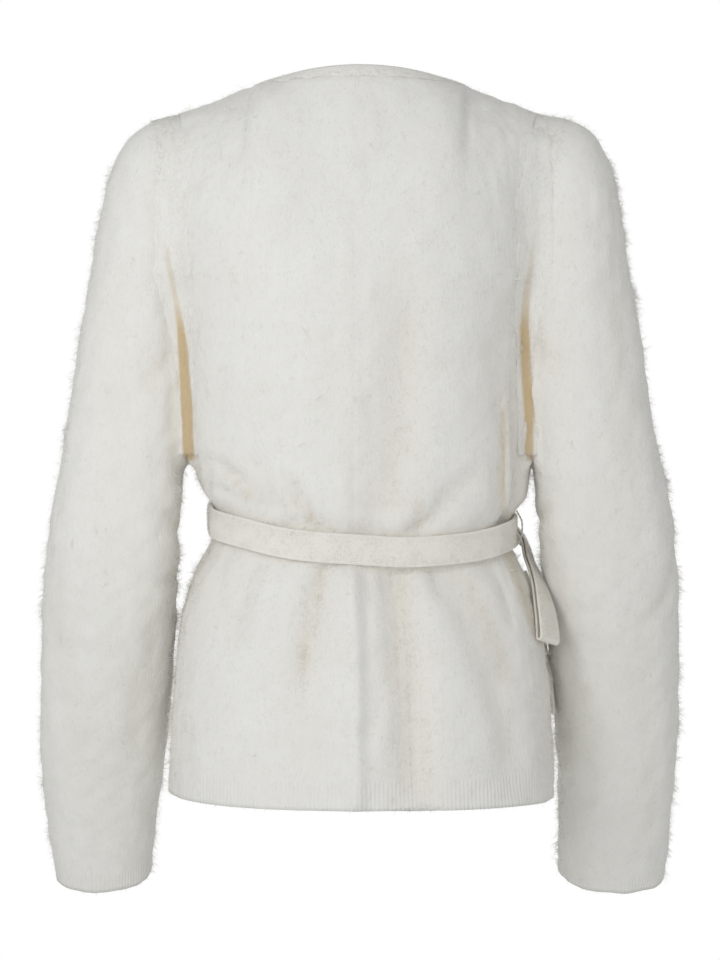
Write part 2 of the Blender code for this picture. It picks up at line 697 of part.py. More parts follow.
def line_frames(table, columns=LINE_COLUMNS, count=8):
    """Points, width directions and outward normals along a middle line, evenly by its rows."""
    rows = np.arange(len(table), dtype=float)
    at = np.linspace(0, len(table) - 1, count)
    g, z, out, turn = (smooth(rows, column(table, columns, c), at) for c in LINE_COLUMNS)
    points, across, normals = [], [], []
    for gi, zi, oi, ti in zip(g, z, out, turn):
        p, n = around_body(gi, zi, oi)
        level = unit(np.cross([0, 0, 1], n))
        upward = np.cross(n, level)
        a = math.radians(ti)
        across.append(level * math.cos(a) + upward * math.sin(a))
        points.append(p)
        normals.append(n)
    return np.array(points), np.array(across), np.array(normals)


def make_loop(name, table, mat, into):
    """A bow loop: the strap leaves the knot, folds over at its end and comes back beside itself."""
    points, across, normals = line_frames(table, LOOP_COLUMNS)
    count = len(points)
    along = unit(np.gradient(points, axis=0))
    across = unit(across - np.einsum("ij,ij->i", across, along)[:, None] * along)
    face = np.cross(along, across)
    normals = face * np.sign(np.einsum("ij,ij->i", face, normals))[:, None]
    rows = np.arange(len(table), dtype=float)
    twist = smooth(rows, column(table, LOOP_COLUMNS, "twist"), np.linspace(0, len(table) - 1, count))
    cos, sin = np.cos(np.radians(twist))[:, None], np.sin(np.radians(twist))[:, None]
    across, normals = across * cos + normals * sin, normals * cos - across * sin
    open_by = 0.0010 + 0.0009 * np.linspace(0.0, 1.0, count) ** 3
    away = points + normals * (open_by + BELT_THICK * 0.15)[:, None]
    back = points - normals * (open_by + BELT_THICK * 0.15)[:, None]
    tip_dir = unit(points[-1] - points[-2])
    radius = open_by[-1] + BELT_THICK * 0.15
    turn = np.linspace(0, math.pi, 7)[1:-1]
    tip = [
        points[-1] + tip_dir * radius * 1.25 * math.sin(t) + normals[-1] * radius * math.cos(t)
        for t in turn
    ]
    path = np.concatenate([away, tip, back[::-1]])
    wide = np.concatenate([across, np.repeat(across[-1:], len(tip), axis=0), across[::-1]])
    grow = 0.52 + 0.42 * ease((np.linspace(0.0, 1.0, count) - 0.35) / 0.6)  # drawn together at the knot
    width = BELT_WIDTH * np.concatenate([grow, np.repeat(grow[-1:], len(tip)), grow[::-1]])
    return strap(name, path, wide, width, BELT_THICK * 0.6, mat, into)


def make_end(name, table, mat, into):
    points, across, _ = line_frames(table)
    return strap(name, points, across, BELT_WIDTH, BELT_THICK * 0.85, mat, into)


def make_knot(mat, into):
    """The knot is a rounded lump of strap, standing on the belt."""
    place, normal = around_body(KNOT_G, float(belt_z(KNOT_G)) - 0.001, 0.0)
    stand = under_belt(KNOT_G) + BELT_CLEAR + BELT_THICK + 0.0032
    thick = 0.0120
    place = place + normal * (stand + thick / 2)
    bpy.ops.mesh.primitive_cube_add(size=1)
    made = bpy.context.active_object
    made.name = "knot"
    level = unit(np.cross([0, 0, 1], normal))
    upward = np.cross(normal, level)
    for vert in made.data.vertices:
        u, v, t = vert.co
        spot = place + level * (u * 0.0240) + upward * (v * 0.0300) + normal * (t * thick)
        vert.co = tuple(spot)
    work = bmesh.new()
    work.from_mesh(made.data)
    bmesh.ops.recalc_face_normals(work, faces=work.faces)
    work.to_mesh(made.data)
    work.free()
    bevel = made.modifiers.new("round", "BEVEL")
    bevel.width = 0.0036
    bevel.segments = 2
    made.data.shade_smooth()
    made.data.set_sharp_from_angle(angle=math.radians(60))
    made.data.materials.append(mat)
    for old in made.users_collection:
        old.objects.unlink(made)
    into.objects.link(made)
    return made


def make_keeper(name, g, stand, mat, into):
    """A thread keeper: a thin loop over the belt, with its ends just off the cloth above and below."""
    middle = float(belt_z(g))
    points = []
    for v, out in ((1.0, 0.0014), (0.86, 0.55), (0.55, 0.92), (0.0, 1.0), (-0.55, 0.92), (-0.86, 0.55), (-1.0, 0.0014)):
        off = 0.0021 if abs(v) == 1.0 else 0.0021 + (stand - 0.0021) * out
        p, _ = around_body(g, middle + v * 0.0160, off)
        points.append(p)
    curve = bpy.data.curves.new(name, "CURVE")
    curve.dimensions = "3D"
    curve.bevel_depth = KEEPER_R
    curve.bevel_resolution = 1
    curve.use_fill_caps = True
    spline = curve.splines.new("POLY")
    spline.points.add(len(points) - 1)
    for spot, p in zip(spline.points, points):
        spot.co = (*p, 1)
    made = bpy.data.objects.new(name, curve)
    curve.materials.append(mat)
    into.objects.link(made)
    return made


def main():
    for old in list(bpy.data.objects):
        bpy.data.objects.remove(old, do_unlink=True)
    into = collection()
    knit = material("brushed_knit", (0.80, 0.79, 0.755), 0.95, 0.4)
    edge = material("edge_band_knit", (0.79, 0.78, 0.74), 0.92, 0.2)
    strap_knit = material("belt_knit", (0.79, 0.775, 0.735), 0.92, 0.2)
    thread = material("thread", (0.78, 0.77, 0.73), 0.8)
    make_back(knit, into)
    make_front("outer", knit, into)
    make_front("inner", knit, into)
    make_front_band("outer", edge, into)
    make_front_band("inner", edge, into)
    make_neck_band(edge, into)
    make_sleeve(1, knit, into)
    make_sleeve(-1, knit, into)
    make_belt(strap_knit, into)
    make_knot(strap_knit, into)
    make_loop("bow_loop_back", LOOP_BACK, strap_knit, into)
    make_loop("bow_loop_front", LOOP_FRONT, strap_knit, into)
    make_end("belt_end_long", END_LONG, strap_knit, into)
    make_end("belt_end_short", END_SHORT, strap_knit, into)
    make_keeper("keeper_left", 0.0, 0.0075, thread, into)
    make_keeper("keeper_right", 2.0, 0.0105, thread, into)


main()
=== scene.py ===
"""The looks of the wrap cardigan: brushed knit cloth with its folds, nap and loose hairs, an edge
band, and a tie belt with its bow and thread keepers. Metres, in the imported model's frame."""

import math

import bpy
import numpy as np
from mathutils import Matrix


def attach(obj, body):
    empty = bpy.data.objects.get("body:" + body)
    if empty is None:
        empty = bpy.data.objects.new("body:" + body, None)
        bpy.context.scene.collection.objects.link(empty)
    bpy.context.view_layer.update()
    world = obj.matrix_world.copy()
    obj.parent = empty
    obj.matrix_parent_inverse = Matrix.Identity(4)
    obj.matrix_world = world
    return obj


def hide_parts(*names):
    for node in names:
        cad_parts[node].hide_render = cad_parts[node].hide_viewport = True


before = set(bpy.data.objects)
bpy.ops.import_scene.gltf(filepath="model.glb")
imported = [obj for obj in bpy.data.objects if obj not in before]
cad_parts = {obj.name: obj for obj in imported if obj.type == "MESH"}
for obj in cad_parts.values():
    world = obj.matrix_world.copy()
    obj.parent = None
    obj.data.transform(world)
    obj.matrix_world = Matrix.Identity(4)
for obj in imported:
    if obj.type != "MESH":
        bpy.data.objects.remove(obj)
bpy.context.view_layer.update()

# ---------------------------------------------------------------- sizes, as in the solids
WALL = 0.0024
SEAM = 0.0003
Z_HEM = -0.5690
Z_ARM = -0.1500
W_ARM = 0.70
NECK_X = 0.0860
NECK_Z = -0.0007
NECK_BACK = 0.0660
SHOULDER_X = 0.1460
SHOULDER_Y = -0.0040
SHOULDER_SLOPE = 0.365
SLEEVE_SQUARE = 2.25
ARMHOLE_TURN = 38.0
LAP = 0.0050
BAND = 0.0125
BELT_WIDTH = 0.0240
BELT_THICK = 0.0034
BELT_CLEAR = 0.0006
KEEPER_R = 0.0008
TOUCH = 0.0150  # gap between a sleeve and the body below which the nap closes it
SHADE_REACH = 0.0240  # and below which the cloth takes a painted warm shade
HALF_ROUND = 0.205  # about half the way round half the body: metres for one unit of g

BODY_COLUMNS = ("z", "middle", "half", "back", "front", "square")
BODY = (
    (-0.569, -0.0015, 0.1565, 0.118, 0.120, 2.40),
    (-0.530, -0.0015, 0.1550, 0.117, 0.118, 2.35),
    (-0.490, -0.0015, 0.1525, 0.115, 0.115, 2.30),
    (-0.455, -0.0010, 0.1485, 0.111, 0.112, 2.25),
    (-0.430, -0.0010, 0.1450, 0.108, 0.109, 2.25),
    (-0.407, -0.0015, 0.1385, 0.103, 0.105, 2.25),
    (-0.390, -0.0020, 0.1315, 0.098, 0.100, 2.25),
    (-0.376, -0.0025, 0.1240, 0.093, 0.095, 2.25),
    (-0.364, -0.0025, 0.1195, 0.0895, 0.0905, 2.25),
    (-0.352, -0.0025, 0.1187, 0.0885, 0.0890, 2.25),
    (-0.340, -0.0025, 0.1205, 0.0900, 0.0905, 2.25),
    (-0.326, -0.0035, 0.1310, 0.0955, 0.0965, 2.25),
    (-0.310, -0.0020, 0.1345, 0.0985, 0.1015, 2.30),
    (-0.285, 0.0000, 0.1370, 0.1000, 0.1060, 2.30),
    (-0.250, 0.0020, 0.1365, 0.1025, 0.1130, 2.35),
    (-0.210, 0.0045, 0.1365, 0.1050, 0.1180, 2.40),
    (-0.172, 0.0050, 0.1390, 0.1070, 0.1190, 2.40),
    (-0.150, 0.0055, 0.1465, 0.1070, 0.1180, 2.40),
)
BELT_COLUMNS = ("g", "z")
BELT = (
    (0.00, -0.3495),
    (0.35, -0.3545),
    (0.70, -0.3640),
    (1.00, -0.3675),
    (1.20, -0.3695),
    (1.50, -0.3670),
    (1.80, -0.3605),
    (2.00, -0.3575),
    (2.50, -0.3540),
    (3.00, -0.3500),
    (3.50, -0.3480),
    (4.00, -0.3495),
)
EDGE_COLUMNS = ("z", "outer", "inner")
EDGE = (
    (-0.569, -0.1120, -0.1020),
    (-0.500, -0.1080, -0.0980),
    (-0.420, -0.1020, -0.0920),
    (-0.380, -0.0960, -0.0880),
    (-0.352, -0.0900, -0.0840),
    (-0.330, -0.0770, -0.0730),
    (-0.300, -0.0570, -0.0560),
    (-0.250, -0.0240, -0.0240),
    (-0.200, 0.0050, 0.0050),
    (-0.150, 0.0300, 0.0300),
    (-0.100, 0.0520, 0.0520),
    (-0.050, 0.0715, 0.0715),
    (-0.020, 0.0810, 0.0810),
    (NECK_Z, NECK_X, NECK_X),
    (0.030, NECK_X, NECK_X),
)
HEM_COLUMNS = ("g", "drop")
HEM = (
    (0.00, 0.0000),
    (1.00, 0.0006),
    (1.50, 0.0020),
    (1.85, 0.0040),
    (2.10, 0.0040),
    (3.00, 0.0010),
    (4.00, 0.0000),
)
FOLD_COLUMNS = ("z_top", "z_low", "g_top", "g_mid", "g_low", "reach", "rise", "fade_up", "fade_down")
FOLDS = (
    (-0.150, -0.352, 1.140, 1.145, 1.030, 0.021, -0.0040, 0.060, 0.020),
    (-0.285, -0.345, 0.520, 0.560, 0.640, 0.011, -0.0040, 0.020, 0.015),
    (-0.300, -0.352, 1.420, 1.350, 1.250, 0.011, -0.0040, 0.025, 0.012),
    (-0.215, -0.350, 1.740, 1.760, 1.770, 0.011, -0.0060, 0.050, 0.015),
    (-0.372, -0.500, 0.860, 0.815, 0.790, 0.012, -0.0040, 0.015, 0.070),
    (-0.372, -0.569, 0.965, 0.975, 0.985, 0.009, 0.0050, 0.020, 0.001),
    (-0.374, -0.569, 1.130, 1.165, 1.195, 0.015, -0.0075, 0.015, 0.001),
    (-0.374, -0.520, 1.330, 1.480, 1.560, 0.013, -0.0050, 0.015, 0.060),
    (-0.240, -0.345, 2.700, 2.560, 2.420, 0.014, -0.0040, 0.050, 0.015),
    (-0.230, -0.345, 3.300, 3.420, 3.550, 0.014, -0.0040, 0.050, 0.015),
    (-0.360, -0.569, 2.720, 2.640, 2.600, 0.020, -0.0050, 0.020, 0.001),
    (-0.358, -0.569, 3.100, 3.120, 3.140, 0.024, -0.0050, 0.030, 0.001),
    (-0.356, -0.540, 3.480, 3.520, 3.560, 0.018, -0.0045, 0.020, 0.060),
)
# Fine creases: three points of the crease (x, z), how far it reaches towards +x and towards -x,
# how far it stands out, and the lengths in which its ends die away.
CREASE_COLUMNS = (
    "x_top", "z_top", "x_mid", "z_mid", "x_low", "z_low", "plus", "minus", "rise", "fade_up", "fade_down",
)
BACK_CREASES = (
    # above the belt
    (0.1154, -0.2980, 0.0920, -0.3175, 0.0741, -0.3380, 0.0065, 0.0045, -0.0044, 0.012, 0.008),
    (0.1123, -0.3198, 0.0905, -0.3338, 0.0772, -0.3430, 0.0040, 0.0040, -0.0022, 0.008, 0.006),
    (0.0560, -0.3120, 0.0421, -0.3354, 0.0312, -0.3540, 0.0055, 0.0040, -0.0048, 0.015, 0.004),
    (0.0047, -0.1950, 0.0055, -0.2810, 0.0062, -0.3560, 0.0022, 0.0026, -0.0004, 0.080, 0.004),
    (0.0016, -0.1950, 0.0023, -0.2810, 0.0031, -0.3560, 0.0032, 0.0040, 0.0003, 0.080, 0.004),
    (0.0226, -0.1990, 0.0234, -0.2223, 0.0242, -0.2496, 0.0120, 0.0120, -0.0016, 0.020, 0.020),
    (-0.0350, -0.1500, -0.0370, -0.2450, -0.0200, -0.3400, 0.0170, 0.0140, -0.0042, 0.060, 0.016),
    (-0.0468, -0.3120, -0.0460, -0.3370, -0.0448, -0.3560, 0.0040, 0.0035, -0.0026, 0.015, 0.004),
    (-0.0881, -0.3110, -0.0694, -0.3338, -0.0499, -0.3540, 0.0060, 0.0060, -0.0030, 0.015, 0.006),
    (-0.1069, -0.1950, -0.1100, -0.2262, -0.1131, -0.2574, 0.0100, 0.0100, -0.0018, 0.030, 0.020),
    (-0.1138, -0.2500, -0.1142, -0.2964, -0.1138, -0.3420, 0.0060, 0.0022, -0.0040, 0.030, 0.008),
    # below the belt
    (0.0296, -0.3780, 0.0374, -0.4173, 0.0460, -0.4711, 0.0090, 0.0065, -0.0056, 0.006, 0.050),
    (0.0694, -0.3838, 0.0764, -0.4173, 0.0866, -0.4485, 0.0080, 0.0090, 0.0034, 0.012, 0.030),
    (0.0850, -0.3820, 0.0930, -0.4095, 0.1010, -0.4420, 0.0080, 0.0065, -0.0032, 0.010, 0.030),
    (0.1061, -0.3744, 0.1139, -0.4056, 0.1217, -0.4368, 0.0060, 0.0060, -0.0016, 0.010, 0.020),
    (0.0062, -0.3790, 0.0027, -0.4368, 0.0018, -0.5710, 0.0120, 0.0048, 0.0018, 0.010, 0.001),
    (-0.0040, -0.3790, -0.0065, -0.4368, -0.0075, -0.5710, 0.0045, 0.0070, -0.0008, 0.012, 0.001),
    (-0.0340, -0.3780, -0.0390, -0.4446, -0.0470, -0.5577, 0.0125, 0.0110, -0.0052, 0.010, 0.030),
    (-0.0538, -0.3810, -0.0577, -0.3900, -0.0616, -0.4050, 0.0040, 0.0040, -0.0015, 0.004, 0.010),
    (-0.0741, -0.3830, -0.0991, -0.4150, -0.1193, -0.4758, 0.0100, 0.0070, -0.0040, 0.010, 0.040),
    (-0.1010, -0.3790, -0.1130, -0.3980, -0.1210, -0.4280, 0.0050, 0.0050, -0.0026, 0.008, 0.020),
)
# Where the cloth lies close against cloth, the shade there is painted into its colour as a warm tan. Each row
# is a thin line of that painted shade on the back, by its top, middle and low end, with half its width.
CREASE_SHADE_COLUMNS = ("x_top", "z_top", "x_mid", "z_mid", "x_low", "z_low", "half", "share")
CREASE_SHADE_LINES = (
    (-0.1136, -0.2500, -0.1146, -0.2950, -0.1136, -0.3440, 0.0016, 0.60),
    (0.1153, -0.3000, 0.0972, -0.3158, 0.0782, -0.3370, 0.0024, 0.26),
    (0.0515, -0.3200, 0.0413, -0.3390, 0.0320, -0.3560, 0.0026, 0.32),
    (0.0055, -0.1000, 0.0055, -0.2500, 0.0060, -0.3550, 0.0022, 0.07),
    (-0.0460, -0.3000, -0.0460, -0.3280, -0.0450, -0.3560, 0.0018, 0.20),
    (0.0304, -0.3740, 0.0382, -0.4216, 0.0452, -0.4660, 0.0040, 0.13),
    (-0.0289, -0.3740, -0.0335, -0.4370, -0.0380, -0.4900, 0.0060, 0.08),
    (-0.0800, -0.3800, -0.1045, -0.4370, -0.1180, -0.4800, 0.0055, 0.09),
    (-0.1153, -0.3650, -0.1304, -0.4090, -0.1438, -0.4460, 0.0045, 0.34),
)
# The strip where a sleeve lies against the body, seen from behind: its height, its middle, half its
# width and how much painted warm shade it takes, for the left side (+x) and the right (-x).
STRIP_COLUMNS = ("z", "x", "half", "share")
STRIP_LEFT = (
    (-0.1200, 0.1560, 0.0006, 0.0),
    (-0.1416, 0.1520, 0.0012, 0.50),
    (-0.1720, 0.1466, 0.0014, 0.70),
    (-0.1936, 0.1430, 0.0020, 0.95),
    (-0.2120, 0.1412, 0.0030, 1.0),
    (-0.2400, 0.1395, 0.0034, 1.0),
    (-0.2600, 0.1384, 0.0040, 1.0),
    (-0.2780, 0.1380, 0.0034, 1.0),
    (-0.2980, 0.1372, 0.0038, 0.9),
    (-0.3010, 0.1366, 0.0040, 0.0),
)
STRIP_RIGHT = (
    (-0.1200, -0.1380, 0.0006, 0.0),
    (-0.1416, -0.1350, 0.0012, 0.40),
    (-0.1720, -0.1320, 0.0020, 0.80),
    (-0.1936, -0.1310, 0.0028, 0.95),
    (-0.2400, -0.1335, 0.0032, 0.95),
    (-0.2600, -0.1350, 0.0030, 0.95),
    (-0.2980, -0.1352, 0.0024, 0.80),
    (-0.3010, -0.1352, 0.0020, 0.0),
)
FRONT_CREASES = (
    (0.0200, -0.2000, -0.0400, -0.2700, -0.0850, -0.3330, 0.0080, 0.0060, -0.0028, 0.040, 0.010),
    (0.0700, -0.2550, 0.0200, -0.3050, -0.0300, -0.3360, 0.0070, 0.0050, -0.0024, 0.030, 0.008),
    (0.0950, -0.2900, 0.0750, -0.3150, 0.0600, -0.3350, 0.0060, 0.0050, -0.0022, 0.020, 0.006),
    (-0.1120, -0.2600, -0.1120, -0.2950, -0.1080, -0.3350, 0.0060, 0.0060, -0.0030, 0.030, 0.008),
    (0.0020, -0.3100, -0.0100, -0.3230, -0.0200, -0.3370, 0.0040, 0.0040, -0.0016, 0.010, 0.005),
    (-0.0800, -0.3660, -0.0720, -0.4300, -0.0560, -0.5100, 0.0080, 0.0070, -0.0026, 0.008, 0.060),
    (-0.0300, -0.3640, -0.0240, -0.4200, -0.0120, -0.4900, 0.0070, 0.0060, -0.0024, 0.008, 0.050),
    (0.0240, -0.3630, 0.0300, -0.4100, 0.0420, -0.4600, 0.0060, 0.0060, -0.0020, 0.008, 0.040),
    (0.0600, -0.3630, 0.0680, -0.4400, 0.0720, -0.5500, 0.0080, 0.0080, -0.0028, 0.008, 0.040),
    (0.0920, -0.3640, 0.1010, -0.4000, 0.1060, -0.4400, 0.0060, 0.0060, -0.0018, 0.008, 0.030),
)
SLEEVE_COLUMNS = ("out_x", "out_z", "in_x", "in_z", "deep", "y")
SLEEVE_LEFT = (
    (0.1610, -0.0268, 0.1560, -0.1560, 0.0455, 0.000),
    (0.1770, -0.0345, 0.1525, -0.1660, 0.0480, 0.000),
    (0.1915, -0.0500, 0.1475, -0.1780, 0.0495, 0.000),
    (0.2025, -0.0770, 0.1445, -0.1920, 0.0500, -0.001),
    (0.2105, -0.1110, 0.1425, -0.2100, 0.0500, -0.001),
    (0.2175, -0.1500, 0.1408, -0.2320, 0.0490, -0.002),
    (0.2255, -0.1960, 0.1397, -0.2580, 0.0480, -0.002),
    (0.2330, -0.2440, 0.1397, -0.2840, 0.0480, -0.002),
    (0.2400, -0.2900, 0.1432, -0.3100, 0.0480, -0.002),
    (0.2495, -0.3400, 0.1460, -0.3500, 0.0475, -0.003),
    (0.2565, -0.3900, 0.1485, -0.3930, 0.0470, -0.012),
    (0.2610, -0.4400, 0.1515, -0.4400, 0.0460, -0.029),
    (0.2645, -0.4950, 0.1560, -0.4930, 0.0450, -0.050),
    (0.2670, -0.5450, 0.1615, -0.5420, 0.0435, -0.069),
    (0.2650, -0.5920, 0.1690, -0.5890, 0.0420, -0.087),
    (0.2590, -0.6570, 0.1775, -0.6540, 0.0395, -0.111),
)
SLEEVE_RIGHT = (
    (0.1640, -0.0268, 0.1450, -0.1560, 0.0455, 0.000),
    (0.1810, -0.0340, 0.1415, -0.1660, 0.0480, 0.002),
    (0.1945, -0.0500, 0.1385, -0.1780, 0.0495, 0.004),
    (0.2045, -0.0770, 0.1360, -0.1920, 0.0500, 0.006),
    (0.2110, -0.1110, 0.1345, -0.2100, 0.0500, 0.008),
    (0.2165, -0.1500, 0.1345, -0.2320, 0.0490, 0.009),
    (0.2255, -0.1960, 0.1365, -0.2580, 0.0480, 0.010),
    (0.2320, -0.2440, 0.1388, -0.2840, 0.0480, 0.009),
    (0.2400, -0.2900, 0.1402, -0.3100, 0.0480, 0.007),
    (0.2520, -0.3400, 0.1435, -0.3500, 0.0475, 0.001),
    (0.2585, -0.3900, 0.1490, -0.3930, 0.0470, -0.010),
    (0.2615, -0.4400, 0.1535, -0.4400, 0.0460, -0.027),
    (0.2635, -0.4950, 0.1595, -0.4930, 0.0450, -0.048),
    (0.2645, -0.5450, 0.1640, -0.5420, 0.0435, -0.067),
    (0.2625, -0.5920, 0.1670, -0.5890, 0.0420, -0.085),
    (0.2585, -0.6570, 0.1690, -0.6540, 0.0395, -0.109),
)
# Folds of a sleeve: share of its length and place round it (degrees: 0 outer, 90 back, 180 inner,
# 270 front) at the fold's two ends, its half width, how far it stands out and how its ends fade.
WRINKLE_COLUMNS = ("t_top", "a_top", "t_low", "a_low", "reach", "rise", "fade")
WRINKLES_LEFT = (
    (0.10, 175, 0.24, 110, 0.010, -0.0030, 0.05),
    (0.15, 200, 0.30, 235, 0.010, -0.0030, 0.05),
    (0.20, 60, 0.42, 95, 0.016, -0.0018, 0.08),
    (0.44, 150, 0.50, 215, 0.007, -0.0026, 0.02),
    (0.48, 285, 0.52, 215, 0.008, -0.0030, 0.02),
    (0.53, 160, 0.56, 240, 0.007, -0.0024, 0.02),
    (0.55, 40, 0.80, 75, 0.014, -0.0016, 0.08),
    (0.62, 130, 0.86, 105, 0.012, -0.0018, 0.08),
    (0.70, 300, 0.92, 270, 0.012, -0.0020, 0.08),
)
WRINKLES_RIGHT = (
    (0.09, 178, 0.22, 118, 0.010, -0.0032, 0.05),
    (0.14, 198, 0.28, 232, 0.010, -0.0030, 0.05),
    (0.22, 50, 0.46, 80, 0.016, -0.0020, 0.08),
    (0.43, 155, 0.50, 225, 0.007, -0.0026, 0.02),
    (0.47, 290, 0.53, 220, 0.008, -0.0030, 0.02),
    (0.50, 10, 0.57, 55, 0.009, -0.0024, 0.03),
    (0.57, 140, 0.80, 115, 0.012, -0.0018, 0.08),
    (0.60, 70, 0.88, 60, 0.014, -0.0016, 0.08),
    (0.72, 290, 0.93, 265, 0.012, -0.0020, 0.08),
)


def column(table, columns, name):
    return np.array([row[columns.index(name)] for row in table], float)


def smooth(xs, ys, x):
    """A smooth curve through the points of a table that never overshoots them."""
    h = np.diff(xs)
    d = np.diff(ys) / h
    m = np.zeros(len(xs))
    same = d[:-1] * d[1:] > 0
    w1, w2 = 2 * h[1:] + h[:-1], h[1:] + 2 * h[:-1]
    inner = np.zeros(len(d) - 1)
    inner[same] = (w1 + w2)[same] / (w1[same] / d[:-1][same] + w2[same] / d[1:][same])
    m[1:-1] = inner
    m[0], m[-1] = d[0], d[-1]
    x = np.clip(np.asarray(x, float), xs[0], xs[-1])
    i = np.clip(np.searchsorted(xs, x, side="right") - 1, 0, len(h) - 1)
    t = (x - xs[i]) / h[i]
    return (
        (1 + 2 * t) * (1 - t) ** 2 * ys[i]
        + t * (1 - t) ** 2 * h[i] * m[i]
        + t * t * (3 - 2 * t) * ys[i + 1]
        + t * t * (t - 1) * h[i] * m[i + 1]
    )


def ease(x):
    x = np.clip(x, 0.0, 1.0)
    return x * x * (3 - 2 * x)


def unit(v):
    return v / np.maximum(np.linalg.norm(v, axis=-1, keepdims=True), 1e-12)


def dot(a, b):
    return np.einsum("...k,...k->...", a, b)


class Waves:
    """Smooth noise in space: a sum of waves with fixed random directions and phases."""

    def __init__(self, seed, size, count=14):
        rng = np.random.default_rng(seed)
        way = unit(rng.normal(size=(count, 3)))
        self.k = way * (2 * math.pi / size) * rng.uniform(0.6, 1.7, (count, 1))
        self.phase = rng.uniform(0, 2 * math.pi, count)
        self.gain = 1.0 / math.sqrt(count / 2)

    def __call__(self, points):
        return np.cos(points @ self.k.T + self.phase).sum(axis=-1) * self.gain


# ---------------------------------------------------------------- the body's surface
BODY_Z = column(BODY, BODY_COLUMNS, "z")
BELT_G = column(BELT, BELT_COLUMNS, "g")
BELT_Z = column(BELT, BELT_COLUMNS, "z")
WAIST_Z = -0.352


def belt_z(g):
    return smooth(BELT_G, BELT_Z, np.mod(g, 4.0))


def ring_value(name, z):
    return smooth(BODY_Z, column(BODY, BODY_COLUMNS, name), z)


def shoulder_line(x, side):
    off = np.abs(x)
    y = np.full_like(off, SHOULDER_Y)
    z = NECK_Z - SHOULDER_SLOPE * (off - NECK_X)
    inside = off < NECK_X
    share = np.clip(off / NECK_X, 0, 1)
    if side > 0:
        y = np.where(inside, SHOULDER_Y + NECK_BACK * np.sqrt(1 - share**2), y)
        z = np.where(inside, NECK_Z + 0.0045 * (1 - share**2), z)
    else:
        dip = (1 + np.cos(np.pi * share)) / 2
        into = np.maximum(NECK_X - off, 0)
        y = np.where(inside, SHOULDER_Y - 0.055 * dip, y)
        z = np.where(
            inside, NECK_Z - 0.05 * dip + 0.36 * into * np.exp(-((into / 0.02) ** 2)), z
        )
    return y, z


def body_row(w, side, samples=721):
    turn = np.linspace(0, np.pi, samples)
    if w <= W_ARM:
        z = Z_HEM + (Z_ARM - Z_HEM) * w / W_ARM
        g = turn / np.pi * 2 if side > 0 else 4 - turn / np.pi * 2
        drop = belt_z(g) - WAIST_Z
        near = np.exp(-(((z - WAIST_Z - drop) / 0.07) ** 2))
        at = z - drop * near
        n = ring_value("square", at)
        low = smooth(column(HEM, HEM_COLUMNS, "g"), column(HEM, HEM_COLUMNS, "drop"), g)
        z = z - low * ease((-0.47 - z) / 0.10)
        cos, sin = np.cos(turn), np.sin(turn)
        x = ring_value("middle", at) + ring_value("half", at) * np.sign(cos) * np.abs(cos) ** (2 / n)
        y = side * ring_value("back" if side > 0 else "front", at) * np.abs(sin) ** (2 / n)
        return np.stack([x, y, np.zeros(samples) + z], axis=1)
    lift = (w - W_ARM) / (1 - W_ARM) * math.pi / 2
    n = float(ring_value("square", Z_ARM))
    start = math.radians(ARMHOLE_TURN) * math.sin(lift) ** 0.7
    wide = float(ring_value("half", Z_ARM))
    across = wide + (0.1455 - wide) * math.sin(lift) - 0.006 * math.sin(2 * lift)
    across += (SHOULDER_X - 0.1455) * math.sin(lift)
    angle = start + (math.pi - 2 * start) * turn / np.pi
    cos, sin = np.cos(angle), np.sin(angle)
    x = across / math.cos(start) ** (2 / n) * np.sign(cos) * np.abs(cos) ** (2 / n)
    top_y, top_z = shoulder_line(x, side)
    deep = float(ring_value("back" if side > 0 else "front", Z_ARM))
    rise = 1 + 0.65 * ease(1.25 * (1 - np.abs(x) / NECK_X))
    y = top_y + (side * deep * sin ** (2 / n) - top_y) * math.cos(lift) ** rise
    z = Z_ARM + (top_z - Z_ARM) * math.sin(lift) ** rise
    lean = float(ring_value("middle", Z_ARM)) * math.cos(lift)
    return np.stack([x + lean, y, z], axis=1)


def body_base(ws, ss, side):
    rows = []
    for w, s in zip(ws, ss):
        row = body_row(w, side)
        length = np.concatenate([[0], np.cumsum(np.linalg.norm(np.diff(row, axis=0), axis=1))])
        at = (1 - np.asarray(s)) / 2 * length[-1]
        rows.append(np.stack([np.interp(at, length, row[:, k]) for k in range(3)], axis=1))
    return np.array(rows)


def fold_height(g, z):
    total = np.zeros(np.broadcast(g, z).shape)
    for row in FOLDS:
        f = dict(zip(FOLD_COLUMNS, row))
        along = np.clip((f["z_top"] - z) / (f["z_top"] - f["z_low"]), 0, 1)
        centre = (
            f["g_top"] * (1 - along) * (1 - 2 * along)
            + f["g_mid"] * 4 * along * (1 - along)
            + f["g_low"] * along * (2 * along - 1)
        )
        away = np.mod(g - centre + 2, 4) - 2
        shape = np.exp(-((away * HALF_ROUND / f["reach"]) ** 2))
        fade = ease((f["z_top"] - z) / f["fade_up"]) * ease((z - f["z_low"]) / f["fade_down"] + 1)
        total = total + f["rise"] * shape * fade
    return total


